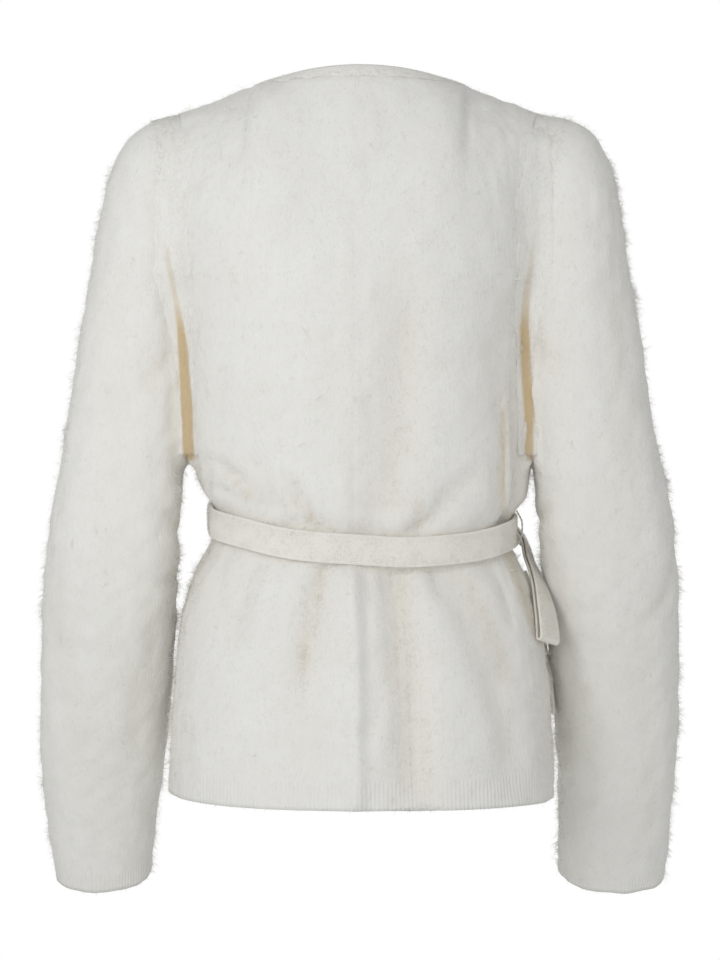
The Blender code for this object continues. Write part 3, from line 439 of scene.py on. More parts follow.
def crease_height(points, table):
    x, z = points[..., 0], points[..., 2]
    total = np.zeros(x.shape)
    for row in table:
        f = dict(zip(CREASE_COLUMNS, row))
        t = np.clip((f["z_top"] - z) / (f["z_top"] - f["z_low"]), 0, 1)
        tm = (f["z_top"] - f["z_mid"]) / (f["z_top"] - f["z_low"])
        centre = (
            f["x_top"] * (t - tm) * (t - 1) / tm
            + f["x_mid"] * t * (t - 1) / (tm * (tm - 1))
            + f["x_low"] * t * (t - tm) / (1 - tm)
        )
        slope = (f["x_low"] - f["x_top"]) / (f["z_top"] - f["z_low"])
        away = (x - centre) / math.sqrt(1 + slope * slope)
        reach = np.where(away > 0, f["plus"], f["minus"])
        shape = np.exp(-((np.abs(away) / reach) ** 1.7))
        fade = ease((f["z_top"] - z) / f["fade_up"] + 0.5) * ease((z - f["z_low"]) / f["fade_down"] + 0.5)
        total = total + f["rise"] * shape * fade
    return total


def grid_normals(points, closed=False):
    if closed:
        along = (np.roll(points, -1, axis=1) - np.roll(points, 1, axis=1)) / 2
    else:
        along = np.gradient(points, axis=1)
    up = np.gradient(points, axis=0)
    return unit(np.cross(along, up))


LUMPS = Waves(3, 0.030)
FINE_LUMPS = Waves(5, 0.011)
SWIRL = Waves(7, 0.055)
SWIRL_FINE = Waves(11, 0.018)


def lap(s, z=-0.5):
    return LAP * ease((1 - s) / 0.16) * ease((-0.05 - z) / 0.10)


def body_sheet(ws, ss, side, out=0.0, calm_edge=True):
    """Outer points, inner points, normals, share of painted shade in the creases and by the belt, and place (g, z) of a
    body panel.
    """
    base = body_base(ws, ss, side)
    normals = grid_normals(base)
    middle = base.mean(axis=(0, 1)) * [1, 0, 1]
    if (dot(normals, base - middle)).sum() < 0:
        normals = -normals
    s = np.array([np.asarray(one, float) for one in ss])
    g = 1 - s if side > 0 else 3 + s
    z = base[..., 2]
    big = fold_height(g, z)
    fine = crease_height(base, BACK_CREASES if side > 0 else FRONT_CREASES)
    calm = ease((1 - np.abs(s)) / 0.06)
    gap = np.abs(z - belt_z(g))
    free = ease((gap - BELT_WIDTH * 0.40) / 0.006)
    lumps = 0.00035 * LUMPS(base) + 0.00016 * FINE_LUMPS(base)
    height = (big + fine * free) * calm + lumps * ease((1 - np.abs(s)) / 0.03) * free
    outer = base + normals * (height + out)[..., None]
    inner = base + normals * ((big + 0.6 * fine * free) * calm + out - WALL)[..., None]
    outer[..., 1] += side * SEAM * 0.6
    inner[..., 1] += side * SEAM * 0.6
    # Painted shade: a warm share in the troughs of the folds and a band along each edge of the belt.
    crease_shade = np.clip(-(big * 0.5 + fine) / 0.0055, 0, 1) * free * calm
    shade = np.exp(-(((gap - BELT_WIDTH * 0.5) / 0.0045) ** 2))
    crease_shade = np.clip(crease_shade + 0.42 * shade, 0, 1)
    return outer, inner, normals, crease_shade, g


# ---------------------------------------------------------------- making meshes
def add_mesh(name, verts, faces_tri, faces_quad, material, smooth_faces=True, normals=None, **data):
    """A mesh from arrays. data are numbers for each vertex, kept as attributes."""
    mesh = bpy.data.meshes.new(name)
    verts = np.asarray(verts, np.float32)
    tri = np.asarray(faces_tri, np.int32).reshape(-1, 3)
    quad = np.asarray(faces_quad, np.int32).reshape(-1, 4)
    loops = np.concatenate([quad.ravel(), tri.ravel()])
    starts = np.concatenate([np.arange(len(quad)) * 4, len(quad) * 4 + np.arange(len(tri)) * 3])
    totals = np.concatenate([np.full(len(quad), 4), np.full(len(tri), 3)])
    mesh.vertices.add(len(verts))
    mesh.vertices.foreach_set("co", verts.ravel())
    mesh.loops.add(len(loops))
    mesh.loops.foreach_set("vertex_index", loops.astype(np.int32))
    mesh.polygons.add(len(starts))
    mesh.polygons.foreach_set("loop_start", starts.astype(np.int32))
    mesh.polygons.foreach_set("loop_total", totals.astype(np.int32))
    mesh.update(calc_edges=True)
    mesh.polygons.foreach_set("use_smooth", np.full(len(starts), smooth_faces))
    for key, values in data.items():
        made = mesh.attributes.new(key, "FLOAT", "POINT")
        made.data.foreach_set("value", np.asarray(values, np.float32).ravel())
    mesh.validate()
    if normals is not None:
        mesh.normals_split_custom_set_from_vertices(np.asarray(normals, np.float32))
    mesh.materials.append(material)
    made = bpy.data.objects.new(name, mesh)
    bpy.context.scene.collection.objects.link(made)
    return made


def turned_out(verts, tri, quad):
    """The same faces, turned so that the closed mesh's faces look outwards."""
    total = 0.0
    for faces in (tri, quad):
        if len(faces):
            for k in range(1, faces.shape[1] - 1):
                a, b, c = verts[faces[:, 0]], verts[faces[:, k]], verts[faces[:, k + 1]]
                total += dot(a, np.cross(b, c)).sum()
    if total < 0:
        tri, quad = tri[:, ::-1], quad[:, ::-1]
    return tri, quad


def shell(name, outer, inner, material, closed=False, **data):
    """A thin shell of cloth between two grids, with a rounded rim."""
    rows, cols = outer.shape[:2]
    base = rows * cols
    r = np.arange(rows - 1)[:, None]
    c = np.arange(cols if closed else cols - 1)[None, :]
    c2 = (c + 1) % cols
    a, b = (r * cols + c).ravel(), (r * cols + c2).ravel()
    d, e = ((r + 1) * cols + c2).ravel(), ((r + 1) * cols + c).ravel()
    quads = [np.stack([a, b, d, e], 1), np.stack([base + a, base + e, base + d, base + b], 1)]
    verts = [outer.reshape(-1, 3), inner.reshape(-1, 3)]
    for row in (0, rows - 1):
        k = np.arange(cols if closed else cols - 1)
        p, q = row * cols + k, row * cols + (k + 1) % cols
        rim = np.stack([p, base + p, base + q, q], 1)
        quads.append(rim if row == 0 else rim[:, ::-1])
    if not closed:
        for col in (0, cols - 1):
            k = np.arange(rows - 1)
            p, q = k * cols + col, (k + 1) * cols + col
            rim = np.stack([p, q, base + q, base + p], 1)
            quads.append(rim if col == 0 else rim[:, ::-1])
    verts = np.concatenate(verts)
    tri = np.zeros((0, 3), int)
    tri, quad = turned_out(verts, tri, np.concatenate(quads))
    doubled = {key: np.concatenate([np.ravel(v), np.ravel(v)]) for key, v in data.items()}
    return add_mesh(name, verts, tri, quad, material, **doubled)


def strap_mesh(name, path, across, width, thick, material, ring=False, side_wave=0.0, **data):
    """A flat knitted strap: a rounded section with a fine raised line along each edge."""
    path, across = np.asarray(path), unit(np.asarray(across))
    if ring:
        along = unit(np.roll(path, -1, axis=0) - np.roll(path, 1, axis=0))
    else:
        along = unit(np.gradient(path, axis=0))
    across = unit(across - dot(across, along)[:, None] * along)
    face = np.cross(along, across)
    t = thick / 2
    half_section = (
        (1.00, 0.10), (0.985, 0.62), (0.93, 0.98), (0.86, 0.90), (0.78, 0.74), (0.55, 0.86), (0.28, 0.92),
        (0.0, 0.94),
    )
    top = [(u, v) for u, v in half_section] + [(-u, v) for u, v in half_section[-2::-1]]
    low = [(-u, -v) for u, v in half_section] + [(u, -v) for u, v in half_section[-2::-1]]
    section = np.array(top + low[0:])
    count, stations = len(section), len(path)
    width = np.zeros(stations) + np.asarray(width)
    verts = (
        path[:, None]
        + across[:, None] * (section[None, :, 0, None] * (width / 2)[:, None, None])
        + face[:, None] * (section[None, :, 1, None] * t)
    )
    if side_wave:
        wave = Waves(23, 0.012)(verts)[..., None]
        wave_wide = Waves(29, 0.035)(verts)[..., None]
        verts = verts + face[:, None] * side_wave * (0.5 * wave + 0.7 * wave_wide)
    i = np.arange(stations if ring else stations - 1)[:, None]
    j = (i + 1) % stations
    k = np.arange(count)[None, :]
    m = (k + 1) % count
    quads = np.stack([(i * count + k), (i * count + m), (j * count + m), (j * count + k)], -1).reshape(-1, 4)
    verts = verts.reshape(-1, 3)
    tri = np.zeros((0, 3), int)
    if not ring:
        verts = np.concatenate([verts, path[:1], path[-1:]])
        n0, n1 = stations * count, stations * count + 1
        k = np.arange(count)
        m = (k + 1) % count
        last = (stations - 1) * count
        tri = np.concatenate(
            [np.stack([np.full(count, n0), m, k], 1), np.stack([np.full(count, n1), last + k, last + m], 1)]
        )
    tri, quads = turned_out(verts, tri, quads)
    # An even share of the painted shade tan over the whole strap.
    warm = data.pop("warm", 0.0)
    values = np.zeros(len(verts)) + warm
    return add_mesh(name, verts, tri, quads, material, warm=values, **data)


def dense(parts):
    """Shares joined from (from, to, steps) stretches."""
    out = [np.linspace(a, b, n, endpoint=False) for a, b, n in parts]
    return np.concatenate(out + [[parts[-1][1]]])


# ---------------------------------------------------------------- hairs
def hairs(name, points, normals, warm, count, length, width, lift, bends, spread, seed, material,
          closed=False, weight=None, flow=None, curl=0.25, roll=0.35, tuft=1):
    """Short tapered hairs on a grid of points, lying mostly downwards. bends is the number of
    stretches of each hair."""
    rng = np.random.default_rng(seed)
    if closed:
        points = np.concatenate([points, points[:, :1]], axis=1)
        normals = np.concatenate([normals, normals[:, :1]], axis=1)
        warm = np.concatenate([warm, warm[:, :1]], axis=1)
        if weight is not None:
            weight = np.concatenate([weight, weight[:, :1]], axis=1)
    p00, p01 = points[:-1, :-1], points[:-1, 1:]
    p10, p11 = points[1:, :-1], points[1:, 1:]
    area = np.linalg.norm(np.cross(p01 - p00, p10 - p00), axis=-1) / 2
    area = area + np.linalg.norm(np.cross(p11 - p01, p11 - p10), axis=-1) / 2
    if weight is not None:
        area = area * (weight[:-1, :-1] + weight[1:, 1:]) / 2
    total = np.cumsum(area.ravel())
    pick = np.searchsorted(total, rng.random(count) * total[-1])
    pick = np.clip(pick, 0, len(total) - 1)
    cols = area.shape[1]
    i, j = pick // cols, pick % cols
    u, v = rng.random(count), rng.random(count)

    def mix(grid):
        uu, vv = (u, v) if grid.ndim == 2 else (u[:, None], v[:, None])
        return (
            grid[i, j] * (1 - uu) * (1 - vv) + grid[i, j + 1] * uu * (1 - vv)
            + grid[i + 1, j] * (1 - uu) * vv + grid[i + 1, j + 1] * uu * vv
        )

    # Each hair takes the painted shade of the cloth under its root.
    root, normal, hair_shade = mix(points), unit(mix(normals)), mix(warm)
    if tuft > 1:  # hairs in tufts, which run together at their tips
        lead = np.arange(count) // tuft * tuft
        spread_root = rng.normal(0, 0.0011, (count, 3))
        spread_root -= dot(spread_root, normal[lead])[:, None] * normal[lead]
        root, normal, hair_shade = root[lead] + spread_root, normal[lead], hair_shade[lead]
    down = np.zeros_like(root) + (flow if flow is not None else (0.0, 0.0, -1.0))
    t0 = unit(down - dot(down, normal)[:, None] * normal + 1e-5)
    t1 = np.cross(normal, t0)
    turn = 0.55 * SWIRL(root) + 0.45 * SWIRL_FINE(root) + rng.normal(0, spread, count)
    way = np.cos(turn)[:, None] * t0 + np.sin(turn)[:, None] * t1
    if tuft > 1:
        way = way[lead] + rng.normal(0, 0.06, (count, 3))
    side = np.cross(normal, way)
    size = length[0] + (length[1] - length[0]) * rng.random(count) ** 1.6
    raised = lift[0] + (lift[1] - lift[0]) * rng.random(count)
    bend = rng.normal(0, curl, count)
    if tuft > 1:
        raised = raised[lead] + rng.normal(0, 0.06, count)
        bend = bend[lead] + rng.normal(0, 0.12, count)
        size = size[lead] * rng.uniform(0.75, 1.1, count)
        pull = spread_root * -0.8
    line = []
    spot = root - normal * 0.0002
    line.append(spot)
    for k in range(bends):
        share = (k + 0.5) / bends
        angle = raised * (1 - 0.55 * share)
        here = way + side * (bend * (0.4 + 1.6 * share))[:, None]
        here = unit(here) * np.cos(angle)[:, None] + normal * np.sin(angle)[:, None]
        spot = spot + here * (size / bends)[:, None]
        if tuft > 1:
            spot = spot + pull / bends
        line.append(spot)
    line = np.array(line)
    along = unit(line[-1] - line[0])
    flat = unit(np.cross(normal, along) + 1e-6)
    up = np.cross(along, flat)
    rolled = rng.uniform(-roll, roll, count)
    flat = np.cos(rolled)[:, None] * flat + np.sin(rolled)[:, None] * up
    wide = width * (0.7 + 0.6 * rng.random(count))
    rows, taper = [], 1 - np.arange(bends) / (bends + 0.35)
    for k in range(bends):
        half = flat * (wide * taper[k] / 2)[:, None]
        rows += [line[k] + half, line[k] - half]
    rows.append(line[-1])
    each = 2 * bends + 1
    verts = np.stack(rows, 1).reshape(-1, 3)
    start = np.arange(count) * each
    quads = np.concatenate(
        [np.stack([start + 2 * k, start + 2 * k + 1, start + 2 * k + 3, start + 2 * k + 2], 1) for k in range(bends - 1)]
        or [np.zeros((0, 4), int)]
    )
    tip = start + 2 * (bends - 1)
    tris = np.stack([tip, tip + 1, tip + 2], 1)
    hair_shade = np.repeat(np.clip(hair_shade, 0, 1), each)
    light = np.repeat(rng.random(count), each)
    return add_mesh(name, verts, tris, quads, material, False, warm=hair_shade, light=light)


# ---------------------------------------------------------------- materials
def nodes_of(name):
    made = bpy.data.materials.new(name)
    made.use_nodes = True
    tree = made.node_tree
    shader = tree.nodes["Principled BSDF"]
    shader.inputs["Metallic"].default_value = 0.0
    return made, tree, shader


def noise(tree, scale, detail, rough, stretch=None, kind="Object"):
    where = tree.nodes.new("ShaderNodeTexCoord")
    out = where.outputs[kind]
    if stretch:
        mapping = tree.nodes.new("ShaderNodeMapping")
        mapping.inputs["Scale"].default_value = stretch
        tree.links.new(out, mapping.inputs["Vector"])
        out = mapping.outputs["Vector"]
    made = tree.nodes.new("ShaderNodeTexNoise")
    made.inputs["Scale"].default_value = scale
    made.inputs["Detail"].default_value = detail
    made.inputs["Roughness"].default_value = rough
    tree.links.new(out, made.inputs["Vector"])
    return made.outputs["Fac"]


def ramp(tree, source, low, high, to_low, to_high):
    made = tree.nodes.new("ShaderNodeMapRange")
    made.inputs["From Min"].default_value = low
    made.inputs["From Max"].default_value = high
    made.inputs["To Min"].default_value = to_low
    made.inputs["To Max"].default_value = to_high
    tree.links.new(source, made.inputs["Value"])
    return made.outputs["Result"]


def attribute(tree, name):
    made = tree.nodes.new("ShaderNodeAttribute")
    made.attribute_name = name
    return made.outputs["Fac"]


def math_node(tree, kind, a, b):
    made = tree.nodes.new("ShaderNodeMath")
    made.operation = kind
    for socket, value in zip(made.inputs, (a, b)):
        if isinstance(value, (int, float)):
            socket.default_value = value
        else:
            tree.links.new(value, socket)
    return made.outputs[0]


def mix_colour(tree, share, a, b, blend="MIX"):
    made = tree.nodes.new("ShaderNodeMix")
    made.data_type = "RGBA"
    made.blend_type = blend
    if isinstance(share, (int, float)):
        made.inputs["Factor"].default_value = share
    else:
        tree.links.new(share, made.inputs["Factor"])
    for socket, value in ((made.inputs[6], a), (made.inputs[7], b)):
        if isinstance(value, tuple):
            socket.default_value = (*value, 1)
        else:
            tree.links.new(value, socket)
    return made.outputs[2]


CREAM = (0.882, 0.881, 0.853)
CREAM_LOW = (0.840, 0.834, 0.800)
# The tan of the shade in creases and where cloth lies against cloth, painted into the colour.
SHADE_TAN = (0.640, 0.505, 0.310)


def knit_material(name, base=CREAM, low=CREAM_LOW, mottle=0.45, sheen=0.15, ribs=0.0, pile=1.0):
    made, tree, shader = nodes_of(name)
    blotch = noise(tree, 26.0, 4.0, 0.6)
    fine = noise(tree, 210.0, 3.0, 0.65, (1.0, 1.0, 0.45))
    fibre = noise(tree, 900.0, 2.0, 0.6, (1.0, 1.0, 0.22))
    share = math_node(tree, "MULTIPLY", ramp(tree, blotch, 0.38, 0.66, 0.0, 1.0), mottle)
    colour = mix_colour(tree, share, base, low)
    share = math_node(tree, "MULTIPLY", ramp(tree, fine, 0.40, 0.68, 0.0, 1.0), mottle * 0.55)
    colour = mix_colour(tree, share, colour, low)
    # Painted shade: the colour turns towards the shade tan by the share of painted shade kept on each vertex.
    colour = mix_colour(tree, attribute(tree, "warm"), colour, SHADE_TAN)
    tree.links.new(colour, shader.inputs["Base Color"])
    tree.links.new(ramp(tree, fine, 0.3, 0.7, 0.86, 0.98), shader.inputs["Roughness"])
    shader.inputs["Sheen Weight"].default_value = sheen
    shader.inputs["Sheen Roughness"].default_value = 0.55
    shader.inputs["Sheen Tint"].default_value = (1.0, 0.995, 0.97, 1)
    shader.inputs["Specular IOR Level"].default_value = 0.12
    height = math_node(tree, "ADD", math_node(tree, "MULTIPLY", fine, 0.9 * pile), math_node(tree, "MULTIPLY", fibre, 0.5 * pile))
    if ribs:
        around = math_node(tree, "MULTIPLY", attribute(tree, "rib_round"), 2 * math.pi / 0.0031)
        rib = math_node(tree, "MULTIPLY", math_node(tree, "SINE", around, 0.0), attribute(tree, "rib_share"))
        height = math_node(tree, "ADD", height, math_node(tree, "MULTIPLY", rib, ribs))
    bump = tree.nodes.new("ShaderNodeBump")
    bump.inputs["Strength"].default_value = 0.55
    bump.inputs["Distance"].default_value = 0.0009
    tree.links.new(height, bump.inputs["Height"])
    tree.links.new(bump.outputs["Normal"], shader.inputs["Normal"])
    return made


def hair_material(name, base=(0.900, 0.897, 0.868), low=(0.850, 0.845, 0.812)):
    made, tree, shader = nodes_of(name)
    colour = mix_colour(tree, attribute(tree, "light"), low, base)
    blotch = noise(tree, 30.0, 3.0, 0.6)
    colour = mix_colour(tree, ramp(tree, blotch, 0.42, 0.68, 0.0, 0.45), colour, low)
    # Painted shade on the hairs, by the share of painted shade kept on each hair.
    colour = mix_colour(tree, math_node(tree, "MULTIPLY", attribute(tree, "warm"), 0.85), colour, SHADE_TAN)
    tree.links.new(colour, shader.inputs["Base Color"])
    shader.inputs["Roughness"].default_value = 0.8
    shader.inputs["Specular IOR Level"].default_value = 0.15
    shader.inputs["Sheen Weight"].default_value = 0.2
    shader.inputs["Sheen Roughness"].default_value = 0.5
    return made


KNIT = knit_material("brushed_knit", ribs=0.36)
BAND_KNIT = knit_material("edge_band_knit", mottle=0.4, sheen=0.25, pile=0.8)
STRAP_KNIT = knit_material("belt_knit", base=(0.905, 0.893, 0.855), low=(0.868, 0.851, 0.806), mottle=0.6, sheen=0.25, pile=0.9)
THREAD = knit_material("thread", base=(0.80, 0.79, 0.75), mottle=0.3, sheen=0.1, pile=0.3)
HAIR = hair_material("brushed_hair")
STRAP_HAIR = hair_material("belt_hair", base=(0.915, 0.906, 0.870), low=(0.875, 0.860, 0.818))

SCALE = 1.0
made_pieces = []


def place(piece, slot, *nodes):
    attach(piece, "root")
    if nodes:
        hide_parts(*nodes)
    made_pieces.append(piece)
    return piece


# ---------------------------------------------------------------- the body panels
ARM_ROWS = 42
LOW_ROWS = 116
WS = np.concatenate(
    [np.linspace(0, W_ARM, LOW_ROWS, endpoint=False), np.linspace(W_ARM, 1, ARM_ROWS + 1)]
)


def edge_share(ws, which):
    found = []
    zs = column(EDGE, EDGE_COLUMNS, "z")
    xs = column(EDGE, EDGE_COLUMNS, which)
    s = np.linspace(-1, 1, 801)
    for w in ws:
        points = body_base([w], [s], -1)[0]
        x = points[:, 0] if which == "outer" else -points[::-1, 0]
        z = points[:, 2] if which == "outer" else points[::-1, 2]
        found.append(float(np.interp(0.0, x - smooth(zs, xs, z), s)))
    return np.array(found)


def side_turn_shade(points, s):
    # Painted shade: the lower body warmer and darker towards its sides, where it turns away from the light.
    z = points[..., 2]
    return 0.10 * ease((np.abs(s) - 0.70) / 0.25) * ease((-0.20 - z) / 0.10)


NECK_S = edge_share([1.0], "outer")[0]


def tree_of(*grids):
    """A search tree over the faces of some grids of points."""
    from mathutils.bvhtree import BVHTree

    verts, faces = [], []
    for grid in grids:
        rows, cols = grid.shape[:2]
        base = len(verts)
        verts += [tuple(v) for v in grid.reshape(-1, 3)]
        r = np.arange(rows - 1)[:, None]
        c = np.arange(cols - 1)[None, :]
        a = base + (r * cols + c).ravel()
        faces += np.stack([a, a + 1, a + cols + 1, a + cols], 1).tolist()
    return BVHTree.FromPolygons(verts, faces)


def warm_lines(points):
    """The thin lines of painted warm shade in the creases of the back."""
    x, z = points[..., 0], points[..., 2]
    total = np.zeros(x.shape)
    for xt, zt, xm, zm, xl, zl, half, share in CREASE_SHADE_LINES:
        at = np.interp(z, (zl, zm, zt), (xl, xm, xt))
        along = ease((zt - z) / 0.014) * ease((z - zl) / 0.010)
        total = np.maximum(total, share * np.exp(-(((x - at) / half) ** 2)) * along)
    return total


def warm_strip(spot):
    """How much painted warm shade a spot takes by where it lies to the strip between a sleeve and the body."""
    rows = STRIP_LEFT if spot[0] > 0 else STRIP_RIGHT
    z = column(rows, STRIP_COLUMNS, "z")[::-1]
    x, half, share = (np.interp(spot[2], z, column(rows, STRIP_COLUMNS, c)[::-1]) for c in ("x", "half", "share"))
    off = abs(spot[0] - x)
    return share * (float(ease((half - off) / 0.0018 + 1)) + 0.13 * float(ease((0.012 - off) / 0.012)))


def closing(points, normals, tree):
    """How far the nap swells towards the surface of a tree that it nearly touches, so that the two
    meet, how near they are (1 where they touch) and how much painted warm shade the strip between them takes."""
    push = np.zeros(points.shape[:2])
    near = np.zeros(points.shape[:2])
    strip_shade = np.zeros(points.shape[:2])
    for i in range(points.shape[0]):
        if points[i, :, 2].max() < -0.315:
            continue
        for j in range(points.shape[1]):
            spot = points[i, j]
            found, _, _, gap = tree.find_nearest(spot.tolist(), SHADE_REACH)
            if found is None or gap < 1e-6:
                continue
            facing = float(np.dot(np.array(found) - spot, normals[i, j]) / gap)
            tall = float(ease((spot[2] + 0.312) / 0.014))
            push[i, j] = 0.66 * gap * float(ease((TOUCH - gap) / TOUCH * 1.8)) * float(ease((facing - 0.25) / 0.35)) * tall
            near[i, j] = float(ease((0.0100 - gap) / 0.0080)) * float(ease((facing - 0.05) / 0.40)) * tall
            # Painted shade: the warm strip between a sleeve and the body, on the side seen from behind.
            if spot[1] > -0.02:
                strip_shade[i, j] = min(1.0, warm_strip(spot)) * float(ease((facing + 0.45) / 0.30))
    return push, near, strip_shade


def make_back():
    half = dense(((0, 0.10, 12), (0.10, NECK_S, 14), (NECK_S, 0.90, 24), (0.90, 1.0, 6)))
    cols = np.concatenate([-half[::-1][:-1], half])[::-1]
    ss = [cols] * len(WS)
    outer, inner, normals, crease_shade, _ = body_sheet(WS, ss, 1)
    s = np.array(ss)
    push, near, strip_shade = closing(outer, grid_out(outer, normals), SLEEVE_TREE)
    outer = outer + normals * push[..., None]
    inner = inner + normals * push[..., None]
    belt_gap = np.abs(outer[..., 2] - belt_z(1 - s))
    # Painted shade: a thin band of shade along each edge of the belt.
    belt_edge_shade = 0.14 * np.exp(-(((belt_gap - BELT_WIDTH * 0.52) / 0.0032) ** 2))
    # All the painted shade of the back: creases, the strip by the sleeve, the crease lines, the belt's edges and the
    # turned-away sides.
    warm = np.clip(crease_shade * 0.10 + strip_shade + warm_lines(outer) + belt_edge_shade + side_turn_shade(outer, s), 0, 1)
    hem = ease((-0.5440 - outer[..., 2]) / 0.006) * 0.8
    cloth = shell("back_cloth", outer, inner, KNIT, warm=warm, rib_round=s * HALF_ROUND, rib_share=hem)
    place(cloth, "knit", "back")
    keep = ease((belt_gap - BELT_WIDTH * 0.46) / 0.0015) * (1 - 0.55 * hem / 0.8)
    return cloth, outer, grid_out(outer, normals), warm, keep, near


def grid_out(points, like, closed=False):
    normals = grid_normals(points, closed)
    flip = np.sign(dot(normals, like))
    return normals * np.where(flip == 0, 1, flip)[..., None]


def make_front(which):
    edge = edge_share(WS, which)
    share = dense(((0, 0.06, 5), (0.06, 0.95, 56), (0.95, 1.0, 5)))
    ss = [1 + (e - 1) * share for e in edge]
    s = np.array(ss)
    name = "left" if which == "outer" else "right"
    if which == "outer":
        z = body_base(WS, ss, -1)[..., 2]
        outer, inner, normals, crease_shade, g = body_sheet(WS, ss, -1, lap(s, z))
        signed = s
    else:
        ss = [-one for one in ss]
        outer, inner, normals, crease_shade, g = body_sheet(WS, ss, -1)
        signed = -s
    push, near, strip_shade = closing(outer, grid_out(outer, normals), SLEEVE_TREE)
    outer = outer + normals * push[..., None]
    inner = inner + normals * push[..., None]
    belt_gap = np.abs(outer[..., 2] - belt_z(g))
    # Painted shade: a thin band of shade along each edge of the belt.
    belt_edge_shade = 0.14 * np.exp(-(((belt_gap - BELT_WIDTH * 0.52) / 0.0032) ** 2))
    # All the painted shade of the front: creases, the strip by the sleeve, the belt's edges and the turned-away sides.
    warm = np.clip(crease_shade * 0.10 + strip_shade + belt_edge_shade + side_turn_shade(outer, s), 0, 1)
    hem = ease((-0.5440 - outer[..., 2]) / 0.006) * 0.8
    cloth = shell(f"front_{name}_cloth", outer, inner, KNIT, warm=warm, rib_round=s * HALF_ROUND, rib_share=hem)
    place(cloth, "knit", f"front_{name}")
    keep = ease((belt_gap - BELT_WIDTH * 0.46) / 0.0015) * (1 - 0.55 * hem / 0.8)
    if which == "inner":  # no hairs where the outer front lies over it
        cover = edge_share(WS, "outer") - BAND / HALF_ROUND
        keep = keep * (signed < cover[:, None] - 0.01)
    return cloth, outer, grid_out(outer, normals), warm, keep, near


def make_front_band(which):
    edge = edge_share(WS, which)
    gap = SEAM / HALF_ROUND * 1.6
    width = BAND / HALF_ROUND
    share = np.linspace(0, 1, 7)
    ss = [e - gap + (gap - width) * share for e in edge]
    s = np.array(ss)
    puff = 0.0007 * np.sin(share * math.pi)[None, :]
    name = "left" if which == "outer" else "right"
    if which == "outer":
        z = body_base(WS, ss, -1)[..., 2]
        outer, inner, normals, crease_shade, g = body_sheet(WS, ss, -1, lap(s, z))
    else:
        outer, inner, normals, crease_shade, g = body_sheet(WS, [-one for one in ss], -1)
    free = ease((np.abs(outer[..., 2] - belt_z(g)) - BELT_WIDTH * 0.4) / 0.006)
    outer = outer + normals * (puff * free)[..., None]
    # Painted shade from the creases and the belt's edges on the band.
    cloth = shell(f"band_{name}_cloth", outer, inner, BAND_KNIT, warm=crease_shade * 0.4)
    place(cloth, "band", f"band_{name}")
    keep = ease((np.abs(outer[..., 2] - belt_z(g)) - BELT_WIDTH * 0.5) / 0.003)
    if which == "inner":
        cover = edge_share(WS, "outer") - BAND / HALF_ROUND
        keep = keep * (-s < cover[:, None] - 0.01)
    return cloth, outer, grid_out(outer, normals), crease_shade * 0.4, keep


def make_neck_band():
    shares = np.linspace(NECK_S, -NECK_S, 61)
    low = body_base([1.0], [shares], 1)[0]
    under = body_base([0.995], [shares], 1)[0]
    share = np.clip(low[:, 0] / NECK_X, -1, 1)
    round_ = np.sqrt(np.maximum(1 - share**2, 0))
    high = np.stack(
        [
            (NECK_X - BAND * 0.92) * share,
            SHOULDER_Y + (NECK_BACK - 0.0045) * round_,
            low[:, 2] + 0.0036 + 0.0060 * (1 - share**2),
        ],
        axis=1,
    )
    steps = np.linspace(0, 1, 6)[:, None, None]
    outer = low[None] * (1 - steps) + high[None] * steps
    face = grid_normals(outer)
    if face[2, 30, 1] < 0:
        face = -face
    outer = outer + face * (0.0008 * np.sin(steps * math.pi))
    below = unit(np.cross(np.gradient(low, axis=0), low - under))
    if below[30, 1] < 0:
        below = -below
    face[0] = below
    inner = outer - WALL * face
    for grid in (outer, inner):
        grid[..., 1] += SEAM * 0.6
    cloth = shell("band_neck_cloth", outer, inner, BAND_KNIT, warm=np.zeros(outer.shape[:2]))
    place(cloth, "band", "band_neck")
    return cloth, outer, face, np.zeros(outer.shape[:2]), np.ones(outer.shape[:2])


# ---------------------------------------------------------------- the sleeves
def armhole(side_x):
    ws = 1 - (1 - W_ARM) * np.arange(ARM_ROWS + 1) / ARM_ROWS
    back = body_base(ws, [np.array([side_x])] * len(ws), 1)[:, 0]
    front = body_base(ws, [np.array([side_x])] * len(ws), -1)[:, 0]
    near = 0.01
    back_in = body_base(ws, [np.array([side_x * (1 - near)])] * len(ws), 1)[:, 0]
    front_in = body_base(ws, [np.array([side_x * (1 - near)])] * len(ws), -1)[:, 0]
    ring = np.concatenate([back, front[-2:0:-1]])
    into = np.concatenate([back_in, front_in[-2:0:-1]]) - ring
    ring[:, 1] += np.concatenate([np.full(len(back), SEAM * 0.6), np.full(len(front) - 2, -SEAM * 0.6)])
    return ring, unit(into)


def wrinkle_height(t, angle, girth, table):
    total = np.zeros(np.broadcast(t, angle).shape)
    for row in table:
        f = dict(zip(WRINKLE_COLUMNS, row))
        share = np.clip((t - f["t_top"]) / (f["t_low"] - f["t_top"]), 0, 1)
        centre = f["a_top"] + (f["a_low"] - f["a_top"]) * share
        away = (np.mod(angle - centre + 180, 360) - 180) / 360 * girth
        steep = (f["a_low"] - f["a_top"]) / 360 * girth / ((f["t_low"] - f["t_top"]) * 0.66)
        away = away / math.sqrt(1 + steep * steep)
        fade = ease((t - f["t_top"]) / f["fade"] + 1) * ease((f["t_low"] - t) / f["fade"] + 1)
        total = total + f["rise"] * np.exp(-((away / f["reach"]) ** 2)) * fade
    return total


